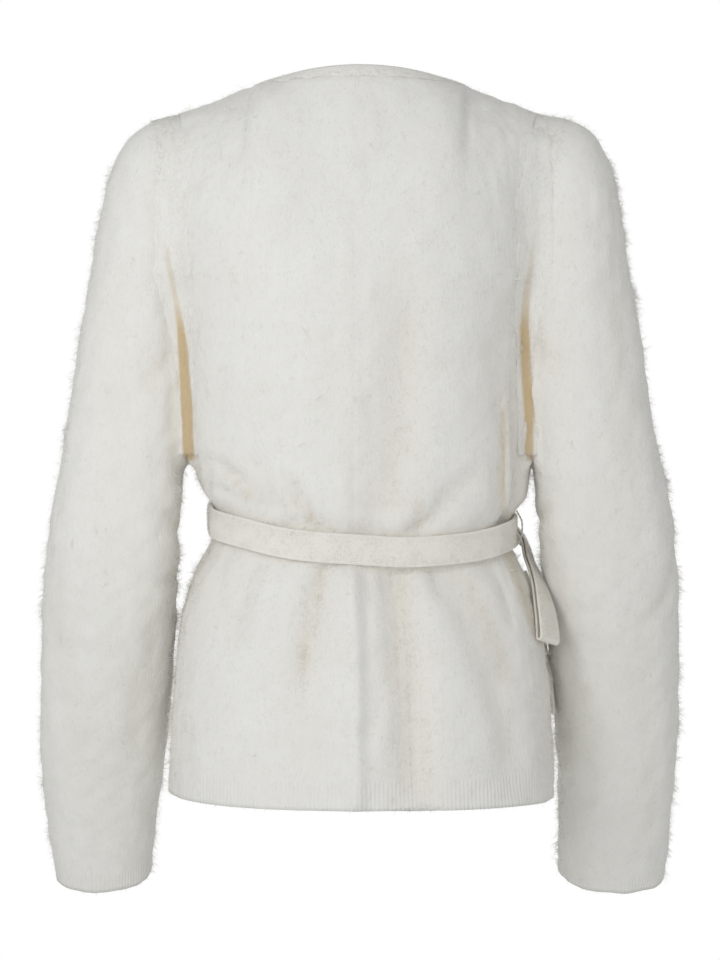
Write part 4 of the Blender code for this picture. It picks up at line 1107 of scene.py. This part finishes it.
def sleeve_base(side_x):
    """The sleeve's plain surface: points, outward normals, middles, the armhole ring, the way from
    the ring into the body, and the angle of each column."""
    table = SLEEVE_LEFT if side_x > 0 else SLEEVE_RIGHT
    ring, into = armhole(side_x)
    cols = len(ring)
    turn = np.arange(cols) / cols * 2 * math.pi
    rows = 150
    index = np.arange(len(table) + 1, dtype=float)
    middle_ring = ring.mean(axis=0)
    out_x = column(table, SLEEVE_COLUMNS, "out_x")
    out_z = column(table, SLEEVE_COLUMNS, "out_z")
    in_x = column(table, SLEEVE_COLUMNS, "in_x")
    in_z = column(table, SLEEVE_COLUMNS, "in_z")
    lead = np.concatenate([[0.0], np.cumsum(np.hypot(np.diff(out_x + in_x), np.diff(out_z + in_z)) / 2)])
    at_table = np.interp(np.linspace(0, lead[-1], rows), lead, np.arange(1, len(table) + 1))
    at = np.concatenate([np.linspace(0, 1, 6)[:-1], at_table])

    def follow(name_, first):
        return smooth(index, np.concatenate([[first], column(table, SLEEVE_COLUMNS, name_)]), at)

    top, armpit = ring[0], ring[cols // 2]
    ox = follow("out_x", abs(top[0]))
    oz = follow("out_z", top[2])
    ix = follow("in_x", abs(armpit[0]))
    iz = follow("in_z", armpit[2])
    deep = follow("deep", np.ptp(ring[:, 1]) / 2)
    yy = follow("y", middle_ring[1])
    middles = np.stack([side_x * (ox + ix) / 2, yy, (oz + iz) / 2], axis=1)
    tangent = unit(np.gradient(middles, axis=0))
    reach = np.stack([side_x * (ox - ix) / 2, np.zeros(len(at)), (oz - iz) / 2], axis=1)
    across = unit(np.array([0.0, 1.0, 0.0]) - tangent[:, 1:2] * tangent) * deep[:, None]
    cos, sin = np.cos(turn), np.sin(turn)
    square = 2 / SLEEVE_SQUARE
    a = np.sign(cos) * np.abs(cos) ** square
    b = np.sign(sin) * np.abs(sin) ** square
    base = middles[:, None] + a[None, :, None] * reach[:, None] + b[None, :, None] * across[:, None]
    share = ease(1 - at / 1.0)[:, None, None]
    start = ring[None] + (middles - middles[0])[:, None]
    base = base * (1 - share) + start * share
    base[0] = ring
    normals = grid_normals(base, closed=True)
    if dot(normals, base - base.mean(axis=1, keepdims=True)).sum() < 0:
        normals = -normals
    return base, normals, middles, into, turn


def make_sleeve(side_x):
    name = "left" if side_x > 0 else "right"
    base, normals, middles, into, turn = sleeve_base(side_x)
    length = np.concatenate([[0], np.cumsum(np.linalg.norm(np.diff(middles, axis=0), axis=1))])
    t = (length / length[-1])[:, None]
    angle = np.degrees(turn)[None, :]
    fold = wrinkle_height(t, angle, 0.31, WRINKLES_LEFT if side_x > 0 else WRINKLES_RIGHT)
    calm = ease((t - 0.02) / 0.05)
    press, near, strip_shade = closing(base, normals, BODY_TREE)
    lumps = 0.0004 * LUMPS(base) + 0.00018 * FINE_LUMPS(base)
    outer = base + normals * ((fold + lumps) * calm + press)[..., None]
    rim = normals[0]
    normals[0] = unit(rim - np.maximum(dot(rim, -into), 0)[:, None] * -into)
    inner = base + normals * (0.7 * fold * calm + press - WALL)[..., None]
    # painted warm shade where the sleeve lies against the body, a little painted shade down its inner side and in its
    # folds
    warm = strip_shade + 0.04 * np.exp(-(((angle - 180) / 55.0) ** 2)) + np.clip(-fold / 0.006, 0, 1) * 0.12 * calm
    warm = np.clip(warm, 0, 1)
    cuff = ease((t - 0.968) / 0.008) * 0.8 + np.zeros_like(angle)
    around = 0.0288 * 2 * np.abs(angle / 180 - 1) * 2.5 + 0 * cuff
    cloth = shell(f"sleeve_{name}_cloth", outer, inner, KNIT, closed=True, warm=warm, rib_round=around, rib_share=cuff)
    place(cloth, "knit", f"sleeve_{name}")
    keep = (1 - 0.5 * cuff / 0.8) * np.ones_like(angle)
    return cloth, outer, grid_out(outer, normals, True), warm, keep, near


# ---------------------------------------------------------------- belt, knot, loops and ends
def around_body(g, z, out):
    side = 1 if g <= 2 else -1
    s = 1 - g if side > 0 else g - 3
    w = (z - Z_HEM) / (Z_ARM - Z_HEM) * W_ARM
    flat = 0.012

    def base(sv, wv):
        return body_base([wv], [np.array([sv])], side)[0, 0]

    p = base(s, w)
    a = base(max(s - flat, -1), w) - base(min(s + flat, 1), w)
    up = base(s, min(w + 0.01, 1)) - base(s, max(w - 0.01, 0))
    n = np.cross(a, up) * side
    n = n / np.linalg.norm(n)
    return p + n * out, n


def under_belt(g):
    if g <= 2:
        return 0.0
    s = g - 3
    stop = -0.62
    if s >= stop:
        return float(lap(np.array(s)))
    return LAP * float(ease((s + 1) / (1 + stop)))


def loop_smooth(path, rounds=2):
    for _ in range(rounds):
        path = (np.roll(path, 1, axis=0) + 2 * path + np.roll(path, -1, axis=0)) / 4
    return path


def make_belt():
    path = []
    count = 176
    for i in range(count):
        g = 4 * i / count
        gap = under_belt(g) + BELT_CLEAR + BELT_THICK / 2
        middle = float(belt_z(g))
        high, _ = around_body(g, middle + BELT_WIDTH * 0.4, gap)
        low, _ = around_body(g, middle - BELT_WIDTH * 0.4, gap)
        mid, _ = around_body(g, middle, gap)
        path.append((high + low + mid) / 3 + unit(mid * [1, 1, 0]) * 0.0018)
    path = loop_smooth(np.array(path), 3)
    across = np.zeros_like(path) + [0, 0, 1.0]
    # An even share of the painted shade tan over the belt.
    belt = strap_mesh("belt_cloth", path, across, BELT_WIDTH, BELT_THICK, STRAP_KNIT, ring=True, side_wave=0.00025, warm=0.05)
    place(belt, "belt", "belt")
    along = unit(np.roll(path, -1, axis=0) - np.roll(path, 1, axis=0))
    out = unit(np.cross(along, across))
    if dot(out, path * [1, 1, 0]).sum() < 0:
        out = -out
    steps = np.linspace(-0.96, 0.96, 9)
    face = path[None] + across[None] * (steps[:, None, None] * BELT_WIDTH / 2) + out[None] * (BELT_THICK * 0.47)
    normals = np.repeat(out[None], len(steps), axis=0)
    normals = unit(normals + across[None] * (steps[:, None, None] ** 5 * 0.9))
    return belt, face, normals


LINE_COLUMNS = ("g", "z", "out", "turn")
KNOT_G = 2.32
LOOP_COLUMNS = ("g", "z", "out", "turn", "twist")
LOOP_BACK = (
    (2.245, -0.3710, 0.0185, -76.0, 0.0),
    (2.140, -0.3790, 0.0142, -64.0, 5.0),
    (2.040, -0.3900, 0.0086, -47.0, 12.0),
    (1.950, -0.4040, 0.0078, -34.0, 20.0),
    (1.880, -0.4220, 0.0078, -24.0, 25.0),
    (1.835, -0.4440, 0.0078, -18.0, 25.0),
)
LOOP_FRONT = (
    (2.400, -0.3710, 0.0190, 80.0, 0.0),
    (2.490, -0.3770, 0.0180, 62.0, 0.0),
    (2.560, -0.3930, 0.0150, 42.0, 0.0),
    (2.605, -0.4140, 0.0130, 30.0, 0.0),
    (2.635, -0.4360, 0.0120, 22.0, 0.0),
)
END_LONG = (
    (2.365, -0.3850, 0.0100, 8.0),
    (2.385, -0.4120, 0.0085, 10.0),
    (2.400, -0.4450, 0.0082, 10.0),
    (2.405, -0.4850, 0.0082, 8.0),
    (2.400, -0.5200, 0.0082, 6.0),
    (2.390, -0.5480, 0.0085, 4.0),
)
END_SHORT = (
    (2.245, -0.4000, 0.0070, -10.0),
    (2.225, -0.4200, 0.0068, -12.0),
    (2.205, -0.4450, 0.0066, -12.0),
    (2.190, -0.4800, 0.0066, -10.0),
    (2.182, -0.5120, 0.0070, -6.0),
)


def line_frames(table, count, columns=LINE_COLUMNS):
    rows = np.arange(len(table), dtype=float)
    at = np.linspace(0, len(table) - 1, count)
    g, z, out, turn = (smooth(rows, column(table, columns, c), at) for c in LINE_COLUMNS)
    points, across, normals = [], [], []
    for gi, zi, oi, ti in zip(g, z, out, turn):
        p, n = around_body(gi, zi, oi)
        level = unit(np.cross([0, 0, 1], n))
        upward = np.cross(n, level)
        a = math.radians(ti)
        across.append(level * math.cos(a) + upward * math.sin(a))
        points.append(p)
        normals.append(n)
    return np.array(points), np.array(across), np.array(normals)


def make_loop(name, table):
    points, across, normals = line_frames(table, 26, LOOP_COLUMNS)
    count = len(points)
    along = unit(np.gradient(points, axis=0))
    across = unit(across - dot(across, along)[:, None] * along)
    face = np.cross(along, across)
    normals = face * np.sign(dot(face, normals))[:, None]
    rows = np.arange(len(table), dtype=float)
    twist = smooth(rows, column(table, LOOP_COLUMNS, "twist"), np.linspace(0, len(table) - 1, count))
    cos, sin = np.cos(np.radians(twist))[:, None], np.sin(np.radians(twist))[:, None]
    across, normals = across * cos + normals * sin, normals * cos - across * sin
    open_by = 0.0010 + 0.0009 * np.linspace(0.0, 1.0, count) ** 3
    away = points + normals * (open_by + BELT_THICK * 0.15)[:, None]
    back = points - normals * (open_by + BELT_THICK * 0.15)[:, None]
    tip_dir = unit(points[-1] - points[-2])
    radius = open_by[-1] + BELT_THICK * 0.15
    turn = np.linspace(0, math.pi, 11)[1:-1]
    tip = [
        points[-1] + tip_dir * radius * 1.25 * math.sin(t) + normals[-1] * radius * math.cos(t)
        for t in turn
    ]
    path = np.concatenate([away, tip, back[::-1]])
    wide = np.concatenate([across, np.repeat(across[-1:], len(tip), axis=0), across[::-1]])
    grow = 0.52 + 0.42 * ease((np.linspace(0.0, 1.0, count) - 0.35) / 0.6)
    width = BELT_WIDTH * np.concatenate([grow, np.repeat(grow[-1:], len(tip)), grow[::-1]])
    # An even share of the painted shade tan over the loop.
    loop = strap_mesh(f"{name}_cloth", path, wide, width, BELT_THICK * 0.6, STRAP_KNIT, warm=0.12)
    place(loop, "belt", name)
    half = grow * BELT_WIDTH / 2
    steps = np.linspace(-0.96, 0.96, 7)
    face = away[None] + across[None] * (steps[:, None, None] * half[None, :, None]) + normals[None] * BELT_THICK * 0.38
    side = unit(np.repeat(normals[None], len(steps), axis=0) + across[None] * (steps[:, None, None] ** 5 * 1.2))
    return loop, face, side


def make_end(name, table):
    points, across, normals = line_frames(table, 40)
    # An even share of the painted shade tan over the end.
    end = strap_mesh(f"{name}_cloth", points, across, BELT_WIDTH, BELT_THICK * 0.85, STRAP_KNIT, side_wave=0.0002, warm=0.06)
    place(end, "belt", name)
    steps = np.linspace(-0.96, 0.96, 7)
    face = points[None] + across[None] * (steps[:, None, None] * BELT_WIDTH / 2) + normals[None] * BELT_THICK * 0.4
    side = unit(np.repeat(normals[None], len(steps), axis=0) + across[None] * (steps[:, None, None] ** 5 * 0.9))
    return end, face, side


def make_knot():
    """The strap wound once over itself: a rounded band of cloth with soft ribs along it."""
    place_, normal = around_body(KNOT_G, float(belt_z(KNOT_G)) - 0.001, 0.0)
    stand = under_belt(KNOT_G) + BELT_CLEAR + BELT_THICK + 0.0032
    thick = 0.0120
    place_ = place_ + normal * (stand + thick / 2)
    level = unit(np.cross([0, 0, 1], normal))
    upward = np.cross(normal, level)
    rows, cols = 25, 40
    v = np.linspace(-1, 1, rows)[:, None]
    turn = (np.arange(cols) / cols * 2 * math.pi)[None, :]
    pinch = 1 - 0.16 * np.exp(-((v / 0.45) ** 2))
    dome = (1 - np.abs(v) ** 4 * 0.32)
    power = 2 / 3.2
    cu = np.sign(np.cos(turn)) * np.abs(np.cos(turn)) ** power
    cn = np.sign(np.sin(turn)) * np.abs(np.sin(turn)) ** power
    ridge = 1 + 0.045 * np.cos(turn * 7 + 0.6) * (np.sin(turn) > 0)
    u = cu * 0.0106 * pinch * dome
    n = cn * thick / 2 * 0.94 * dome * ridge
    spot = place_ + level * u[..., None] + upward * (v * 0.0142 + 0 * turn)[..., None] + normal * n[..., None]
    tube = spot.reshape(-1, 3)
    r = np.arange(rows - 1)[:, None]
    c = np.arange(cols)[None, :]
    quads = np.stack(
        [r * cols + c, r * cols + (c + 1) % cols, (r + 1) * cols + (c + 1) % cols, (r + 1) * cols + c], -1
    ).reshape(-1, 4)
    ends = np.stack([spot[0].mean(axis=0) - upward * 0.0008, spot[-1].mean(axis=0) + upward * 0.0008])
    verts = np.concatenate([tube, ends])
    k = np.arange(cols)
    m = (k + 1) % cols
    last = (rows - 1) * cols
    tri = np.concatenate(
        [np.stack([np.full(cols, len(tube)), m, k], 1), np.stack([np.full(cols, len(tube) + 1), last + k, last + m], 1)]
    )
    tri, quads = turned_out(verts, tri, quads)
    # An even share of the painted shade tan over the knot.
    knot = add_mesh("knot_cloth", verts, tri, quads, STRAP_KNIT, warm=np.full(len(verts), 0.10))
    place(knot, "belt", "knot")
    half = cols // 2
    face = spot[:, : half + 1]
    side = unit(normal[None, None] * np.sin(turn[:, : half + 1])[..., None] + level * np.cos(turn[:, : half + 1])[..., None] + 0 * face)
    return knot, face, side


def make_keeper(name, g, stand):
    middle = float(belt_z(g))
    points = []
    for v, out in ((1.0, 0.0), (0.86, 0.55), (0.55, 0.92), (0.0, 1.0), (-0.55, 0.92), (-0.86, 0.55), (-1.0, 0.0)):
        off = 0.0021 + (stand - 0.0021) * out
        p, _ = around_body(g, middle + v * 0.0160, off)
        points.append(p)
    points = np.array(points)
    at = np.linspace(0, len(points) - 1, 37)
    rows = np.arange(len(points), dtype=float)
    path = np.stack([np.interp(at, rows, points[:, k]) for k in range(3)], axis=1)
    for _ in range(14):
        path[1:-1] = (path[:-2] + 2 * path[1:-1] + path[2:]) / 4
    along = unit(np.gradient(path, axis=0))
    a = unit(np.cross(along, [0.0, 1.0, 0.0]))
    b = np.cross(along, a)
    verts, cols = [], 10
    for strand in range(2):  # two threads twisted round each other
        twist = np.linspace(0, 2 * math.pi * 5, len(path)) + strand * math.pi
        centre = path + (a * np.cos(twist)[:, None] + b * np.sin(twist)[:, None]) * KEEPER_R * 0.45
        turn = np.arange(cols) / cols * 2 * math.pi
        ring = centre[:, None] + (
            a[:, None] * np.cos(turn)[None, :, None] + b[:, None] * np.sin(turn)[None, :, None]
        ) * KEEPER_R * 0.55
        verts.append(ring.reshape(-1, 3))
    quads, tris = [], []
    for strand in range(2):
        base = strand * len(path) * cols
        i = np.arange(len(path) - 1)[:, None]
        k = np.arange(cols)[None, :]
        quads.append(
            base + np.stack([i * cols + k, i * cols + (k + 1) % cols, (i + 1) * cols + (k + 1) % cols, (i + 1) * cols + k], -1).reshape(-1, 4)
        )
        k = np.arange(1, cols - 1)
        last = (len(path) - 1) * cols
        tris.append(base + np.stack([np.zeros(cols - 2, int), k + 1, k], 1))
        tris.append(base + last + np.stack([np.zeros(cols - 2, int), k, k + 1], 1))
    verts = np.concatenate(verts)
    tri, quad = turned_out(verts, np.concatenate(tris), np.concatenate(quads))
    # An even share of the painted shade tan over the thread.
    keeper = add_mesh(f"{name}_thread", verts, tri, quad, THREAD, warm=np.full(len(verts), 0.05))
    place(keeper, "thread", name)
    return keeper


# ---------------------------------------------------------------- building it
def ragged(points):
    """Where the loose tufts stand: in patches."""
    return 0.04 + ease((0.5 * SWIRL(points) + 0.8 * LUMPS(points) - 0.25) / 0.8)


def fur(name, sheet, nap, long, tufts, seed, closed=False, weight=None):
    """The nap and the long loose hairs of one panel, in two pieces."""
    cloth, outer, normals, warm, keep, _ = sheet
    pieces = []
    if nap:
        pieces.append(
            hairs(f"{name}_nap", outer, normals, warm, int(nap * SCALE), (0.0028, 0.0060), 0.00030, (0.05, 0.24), 1,
                  0.45, seed, HAIR, closed, keep, roll=0.2)
        )
    if long:
        pieces.append(
            hairs(f"{name}_hairs", outer, normals, warm, int(long * SCALE), (0.0040, 0.0095), 0.00019, (0.20, 1.15), 3,
                  0.95, seed + 1, HAIR, closed, weight, curl=0.75)
        )
    if tufts:
        pieces.append(
            hairs(f"{name}_tufts", outer, normals, warm, int(tufts * SCALE) // 6 * 6, (0.0060, 0.0125), 0.00018,
                  (0.30, 1.15), 3, 1.0, seed + 2, HAIR, closed, weight * ragged(outer), curl=0.9, tuft=6)
        )
    for piece in pieces:
        place(piece, "knit")
    return pieces


plain = np.linspace(1, -1, 121)
BODY_TREE = tree_of(body_base(WS, [plain] * len(WS), 1), body_base(WS, [plain] * len(WS), -1))
SLEEVE_TREE = tree_of(*[np.concatenate([g, g[:, :1]], axis=1) for g in (sleeve_base(1)[0], sleeve_base(-1)[0])])

back = make_back()
front_left = make_front("outer")
front_right = make_front("inner")
sleeve_left = make_sleeve(1)
sleeve_right = make_sleeve(-1)
band_left = make_front_band("outer")
band_right = make_front_band("inner")
band_neck = make_neck_band()

def side_weight(sheet):
    """Where the tufts grow on a panel: mostly along its sides."""
    cloth, outer, normals, warm, keep, near = sheet
    return keep * (1 - ease(near * 2.2)) * (0.03 + 1.0 * ease((np.abs(normals[..., 0]) - 0.72) / 0.25) + 0.5 * ease((normals[..., 2] - 0.5) / 0.3))


def sleeve_weight(sheet, shoulder):
    cloth, outer, normals, warm, keep, near = sheet
    keep = keep * (1 - ease(near * 2.2))
    edge = ease((np.abs(normals[..., 0]) - 0.80) / 0.18)
    return keep * (0.03 + edge + 0.5 * ease((normals[..., 2] - 0.5) / 0.3) + shoulder * ease((outer[..., 2] + 0.20) / 0.06) * edge)


back_fur = fur("back", back, 82000, 5200, 2100, 101, weight=side_weight(back))
left_fur = fur("front_left", front_left, 40000, 3000, 1500, 111, weight=side_weight(front_left))
right_fur = fur("front_right", front_right, 20000, 1600, 700, 121, weight=side_weight(front_right))
sleeve_left_fur = fur("sleeve_left", sleeve_left, 58000, 8000, 4500, 131, True, sleeve_weight(sleeve_left, 0.0))
sleeve_right_fur = fur("sleeve_right", sleeve_right, 58000, 9000, 6000, 141, True, sleeve_weight(sleeve_right, 0.8))



def seam_hairs(name, sheet, seed):
    """Short hairs that lie over the armhole seam."""
    cloth, outer, normals, warm, keep, near = sheet
    rows = slice(0, 7)
    piece = hairs(name, outer[rows], normals[rows], warm[rows], int(5000 * SCALE), (0.0032, 0.0068), 0.00032,
                  (0.08, 0.40), 2, 1.3, seed, HAIR, True, None, roll=0.2)
    return place(piece, "knit")


def contact_hairs(name, sheet, number, seed, closed=True):
    """Hairs that cross the line where a sleeve lies against the body."""
    cloth, outer, normals, warm, keep, near = sheet
    weight = near * (0.25 + ease((normals[..., 1] + 0.35) / 0.5)) + 1e-7
    piece = hairs(name, outer, normals, warm, int(number * SCALE), (0.0045, 0.0090), 0.00040, (0.10, 0.75), 1, 1.5,
                  seed, HAIR, closed, weight, roll=0.3)
    return place(piece, "knit")


def seam_nap(name, side_x, sleeve, seed):
    """The brushed knit where it runs level from the back over the groove of the armhole seam."""
    outer = sleeve[1]
    closed = np.concatenate([outer, outer[:, :1]], axis=1)
    tree = tree_of(back[1], closed)
    ring = outer[0]
    rear = ring[ring[:, 1] > ring[:, 1].mean()]
    rear = rear[np.argsort(rear[:, 2])]
    zs = np.linspace(-0.026, -0.296, 108)
    rows = STRIP_LEFT if side_x > 0 else STRIP_RIGHT
    strip_x = np.interp(zs, column(rows, STRIP_COLUMNS, "z")[::-1], column(rows, STRIP_COLUMNS, "x")[::-1])
    under = ease((-0.118 - zs) / 0.030)
    seam_x = np.interp(zs, rear[:, 2], rear[:, 0]) * (1 - under) + strip_x * under
    seam_x = np.convolve(np.pad(seam_x, 3, mode="edge"), np.ones(7) / 7, mode="valid")
    offs = np.linspace(-0.026, 0.026, 41) * side_x
    level = np.zeros((len(zs), len(offs)))
    for i, z in enumerate(zs):
        for j, off in enumerate(offs):
            hit, _, _, _ = tree.ray_cast((seam_x[i] + off, 0.5, z), (0, -1, 0), 1.0)
            level[i, j] = hit[1] if hit is not None else -0.03
    over = level.copy()
    span = np.interp(zs, (-0.210, -0.150), (8.5, 16.5))
    for k in range(len(offs)):  # the line drawn taut over the groove
        for a in range(k + 1):
            for b in range(max(k, a + 1), min(len(offs), a + 17)):
                taut = level[:, a] + (level[:, b] - level[:, a]) * (k - a) / (b - a)
                over[:, k] = np.where(b - a <= span, np.maximum(over[:, k], taut), over[:, k])
    level = np.maximum(level, over - 0.008)
    top = ease((-0.026 - zs) / 0.020)[:, None]
    half = np.interp(zs, (-0.215, -0.150), (0.0110, 0.0255))[:, None]
    side = ease((half - np.abs(offs)[None, :]) / (half * 0.5))
    fade = (ease((zs + 0.302) / 0.006) * ease((-0.026 - zs) / 0.012))[:, None]
    rise = (over - level) * fade * side
    near_seam = ease((0.0050 - np.abs(offs)) / 0.0035)[None, :] * fade * ease((zs + 0.175) / 0.030)[:, None]
    shown = np.maximum(near_seam, ease((rise - 0.0002) / 0.0008))
    deep = np.interp(zs, (-0.200, -0.150), (0.0045, 0.0012))[:, None]
    y = level + rise + 0.0003 * near_seam - deep * (1 - shown) - 0.0035 * (1 - top)
    for _ in range(3):
        wide = np.concatenate([y[:1], y, y[-1:]])
        y = (wide[:-2] + 2 * y + wide[2:]) / 4
    x = seam_x[:, None] + offs[None, :]
    z = zs[:, None] + 0 * x
    points = np.stack([x, y, z], axis=-1)
    normals = grid_normals(points, False)
    normals = normals * np.sign(normals[..., 1:2])
    # Painted shade: the warm strip by the sleeve, with less of it towards the shoulder.
    warm = np.array([[warm_strip(spot) for spot in line] for line in points]) * (1 - 0.45 * ease((zs + 0.205) / 0.035)[:, None])
    cloth = shell(f"{name}_cloth", points, points - normals * 0.0008, KNIT, warm=warm, rib_round=0 * x, rib_share=0 * x)
    place(cloth, "knit")
    weight = shown * side + 1e-7
    nap = hairs(f"{name}_nap", points, normals, warm, int(8000 * SCALE), (0.0030, 0.0062), 0.00030, (0.05, 0.24), 1,
                0.6, seed, HAIR, False, weight, roll=0.2)
    return [cloth, place(nap, "knit")]


def strip_hairs(name, sheet, number, seed, closed):
    """Short hairs, lying every way, on the strip of painted warm shade where a sleeve lies against the body."""
    cloth, outer, normals, warm, keep, near = sheet
    piece = hairs(name, outer, normals, warm, int(number * SCALE), (0.0030, 0.0070), 0.00030, (0.10, 0.60), 1, 1.6,
                  seed, HAIR, closed, ease((warm - 0.04) / 0.15) * ease((-0.16 - outer[..., 2]) / 0.03) + 1e-7, roll=0.3)
    return place(piece, "knit")


seam_nap("seam_left", 1, sleeve_left, 161)
seam_nap("seam_right", -1, sleeve_right, 163)
back_fur.append(strip_hairs("back_strip", back, 9000, 165, False))
sleeve_left_fur.append(strip_hairs("sleeve_left_strip", sleeve_left, 3500, 167, True))
sleeve_right_fur.append(strip_hairs("sleeve_right_strip", sleeve_right, 3500, 169, True))
sleeve_left_fur.append(seam_hairs("sleeve_left_seam", sleeve_left, 151))
sleeve_right_fur.append(seam_hairs("sleeve_right_seam", sleeve_right, 153))
sleeve_left_fur.append(contact_hairs("sleeve_left_contact", sleeve_left, 6000, 155))
sleeve_right_fur.append(contact_hairs("sleeve_right_contact", sleeve_right, 6000, 157))
back_fur.append(contact_hairs("back_contact", back, 7000, 159, False))

belt, belt_face, belt_normals = make_belt()
make_keeper("keeper_left", 0.0, 0.0075)
make_keeper("keeper_right", 2.0, 0.0105)
knot = make_knot()
loop_back = make_loop("bow_loop_back", LOOP_BACK)
loop_front = make_loop("bow_loop_front", LOOP_FRONT)
end_long = make_end("belt_end_long", END_LONG)
end_short = make_end("belt_end_short", END_SHORT)


def short_fur(name, points, normals, count, seed, slot, material, keep=None, closed=False):
    # An even share of the painted shade tan on these hairs.
    warm = np.full(points.shape[:2], 0.05)
    piece = hairs(f"{name}_nap", points, normals, warm, int(count * SCALE), (0.0014, 0.0038), 0.00022, (0.1, 0.8), 1,
                  0.9, seed, material, closed, keep)
    return place(piece, slot)


belt_nap = short_fur("belt", np.concatenate([belt_face, belt_face[:, :1]], axis=1),
                     np.concatenate([belt_normals, belt_normals[:, :1]], axis=1), 21000, 201, "belt", STRAP_HAIR)
knot_nap = short_fur("knot", knot[1], knot[2], 900, 203, "belt", STRAP_HAIR)
loop_naps = [short_fur("bow_loop_back", loop_back[1], loop_back[2], 3600, 205, "belt", STRAP_HAIR),
             short_fur("bow_loop_front", loop_front[1], loop_front[2], 2600, 207, "belt", STRAP_HAIR)]
end_naps = [short_fur("belt_end_long", end_long[1], end_long[2], 3600, 209, "belt", STRAP_HAIR),
            short_fur("belt_end_short", end_short[1], end_short[2], 2600, 211, "belt", STRAP_HAIR)]
band_naps = [short_fur("band_left", band_left[1], band_left[2], 6000, 213, "band", HAIR, band_left[4]),
             short_fur("band_right", band_right[1], band_right[2], 3000, 215, "band", HAIR, band_right[4]),
             short_fur("band_neck", band_neck[1], band_neck[2], 6000, 217, "band", HAIR)]

# ---------------------------------------------------------------- floor, lights and camera
FLOOR_Z = -1.30


def make_floor():
    mesh = bpy.data.meshes.new("floor")
    s = 1.6
    mesh.from_pydata([(-s, -s, FLOOR_Z), (s, -s, FLOOR_Z), (s, s, FLOOR_Z), (-s, s, FLOOR_Z)], [], [(0, 1, 2, 3)])
    made, tree, shader = nodes_of("floor_paint")
    grain = noise(tree, 6.0, 3.0, 0.5)
    colour = mix_colour(tree, ramp(tree, grain, 0.3, 0.7, 0.0, 1.0), (0.86, 0.86, 0.85), (0.83, 0.83, 0.82))
    tree.links.new(colour, shader.inputs["Base Color"])
    shader.inputs["Roughness"].default_value = 0.85
    mesh.materials.append(made)
    floor = bpy.data.objects.new("floor", mesh)
    bpy.context.scene.collection.objects.link(floor)


def area_light(name, where, at, size, power, colour=(1, 1, 1)):
    data = bpy.data.lights.new(name, "AREA")
    data.shape = "SQUARE"
    data.size = size
    data.energy = power
    data.color = colour
    light = bpy.data.objects.new(name, data)
    light.location = where
    aim = unit(np.array(at, float) - np.array(where, float))
    from mathutils import Vector

    light.rotation_euler = Vector(aim).to_track_quat("-Z", "Y").to_euler()
    bpy.context.scene.collection.objects.link(light)
    return light


def make_world():
    world = bpy.data.worlds.new("studio")
    bpy.context.scene.world = world
    world.use_nodes = True
    tree = world.node_tree
    tree.nodes.clear()
    out = tree.nodes.new("ShaderNodeOutputWorld")
    mix = tree.nodes.new("ShaderNodeMixShader")
    soft = tree.nodes.new("ShaderNodeBackground")
    soft.inputs["Color"].default_value = (1.0, 0.995, 0.985, 1)
    soft.inputs["Strength"].default_value = 0.50
    white = tree.nodes.new("ShaderNodeBackground")
    white.inputs["Color"].default_value = (1, 1, 1, 1)
    white.inputs["Strength"].default_value = 1.0
    path = tree.nodes.new("ShaderNodeLightPath")
    tree.links.new(path.outputs["Is Camera Ray"], mix.inputs[0])
    tree.links.new(soft.outputs[0], mix.inputs[1])
    tree.links.new(white.outputs[0], mix.inputs[2])
    tree.links.new(mix.outputs[0], out.inputs["Surface"])


make_floor()
make_world()
area_light("key", (0.62, 1.30, 0.00), (0, 0, -0.30), 0.8, 7.1)
area_light("fill", (-2.0, 2.4, -0.2), (0, 0, -0.35), 2.0, 5.8)
area_light("front_fill", (0.0, -2.6, 0.3), (0, 0, -0.35), 2.0, 22)

camera_data = bpy.data.cameras.new("camera")
camera_data.sensor_width = 36.0
camera_data.lens = 120.4
camera_data.clip_end = 50
camera = bpy.data.objects.new("camera", camera_data)
camera.location = (0.0, 2.6, -0.172)
camera.rotation_euler = (math.radians(90 - 3.21), 0, math.radians(180))
bpy.context.scene.collection.objects.link(camera)
bpy.context.scene.camera = camera
bpy.context.scene.view_settings.view_transform = "Standard"
bpy.context.scene.view_settings.look = "None"
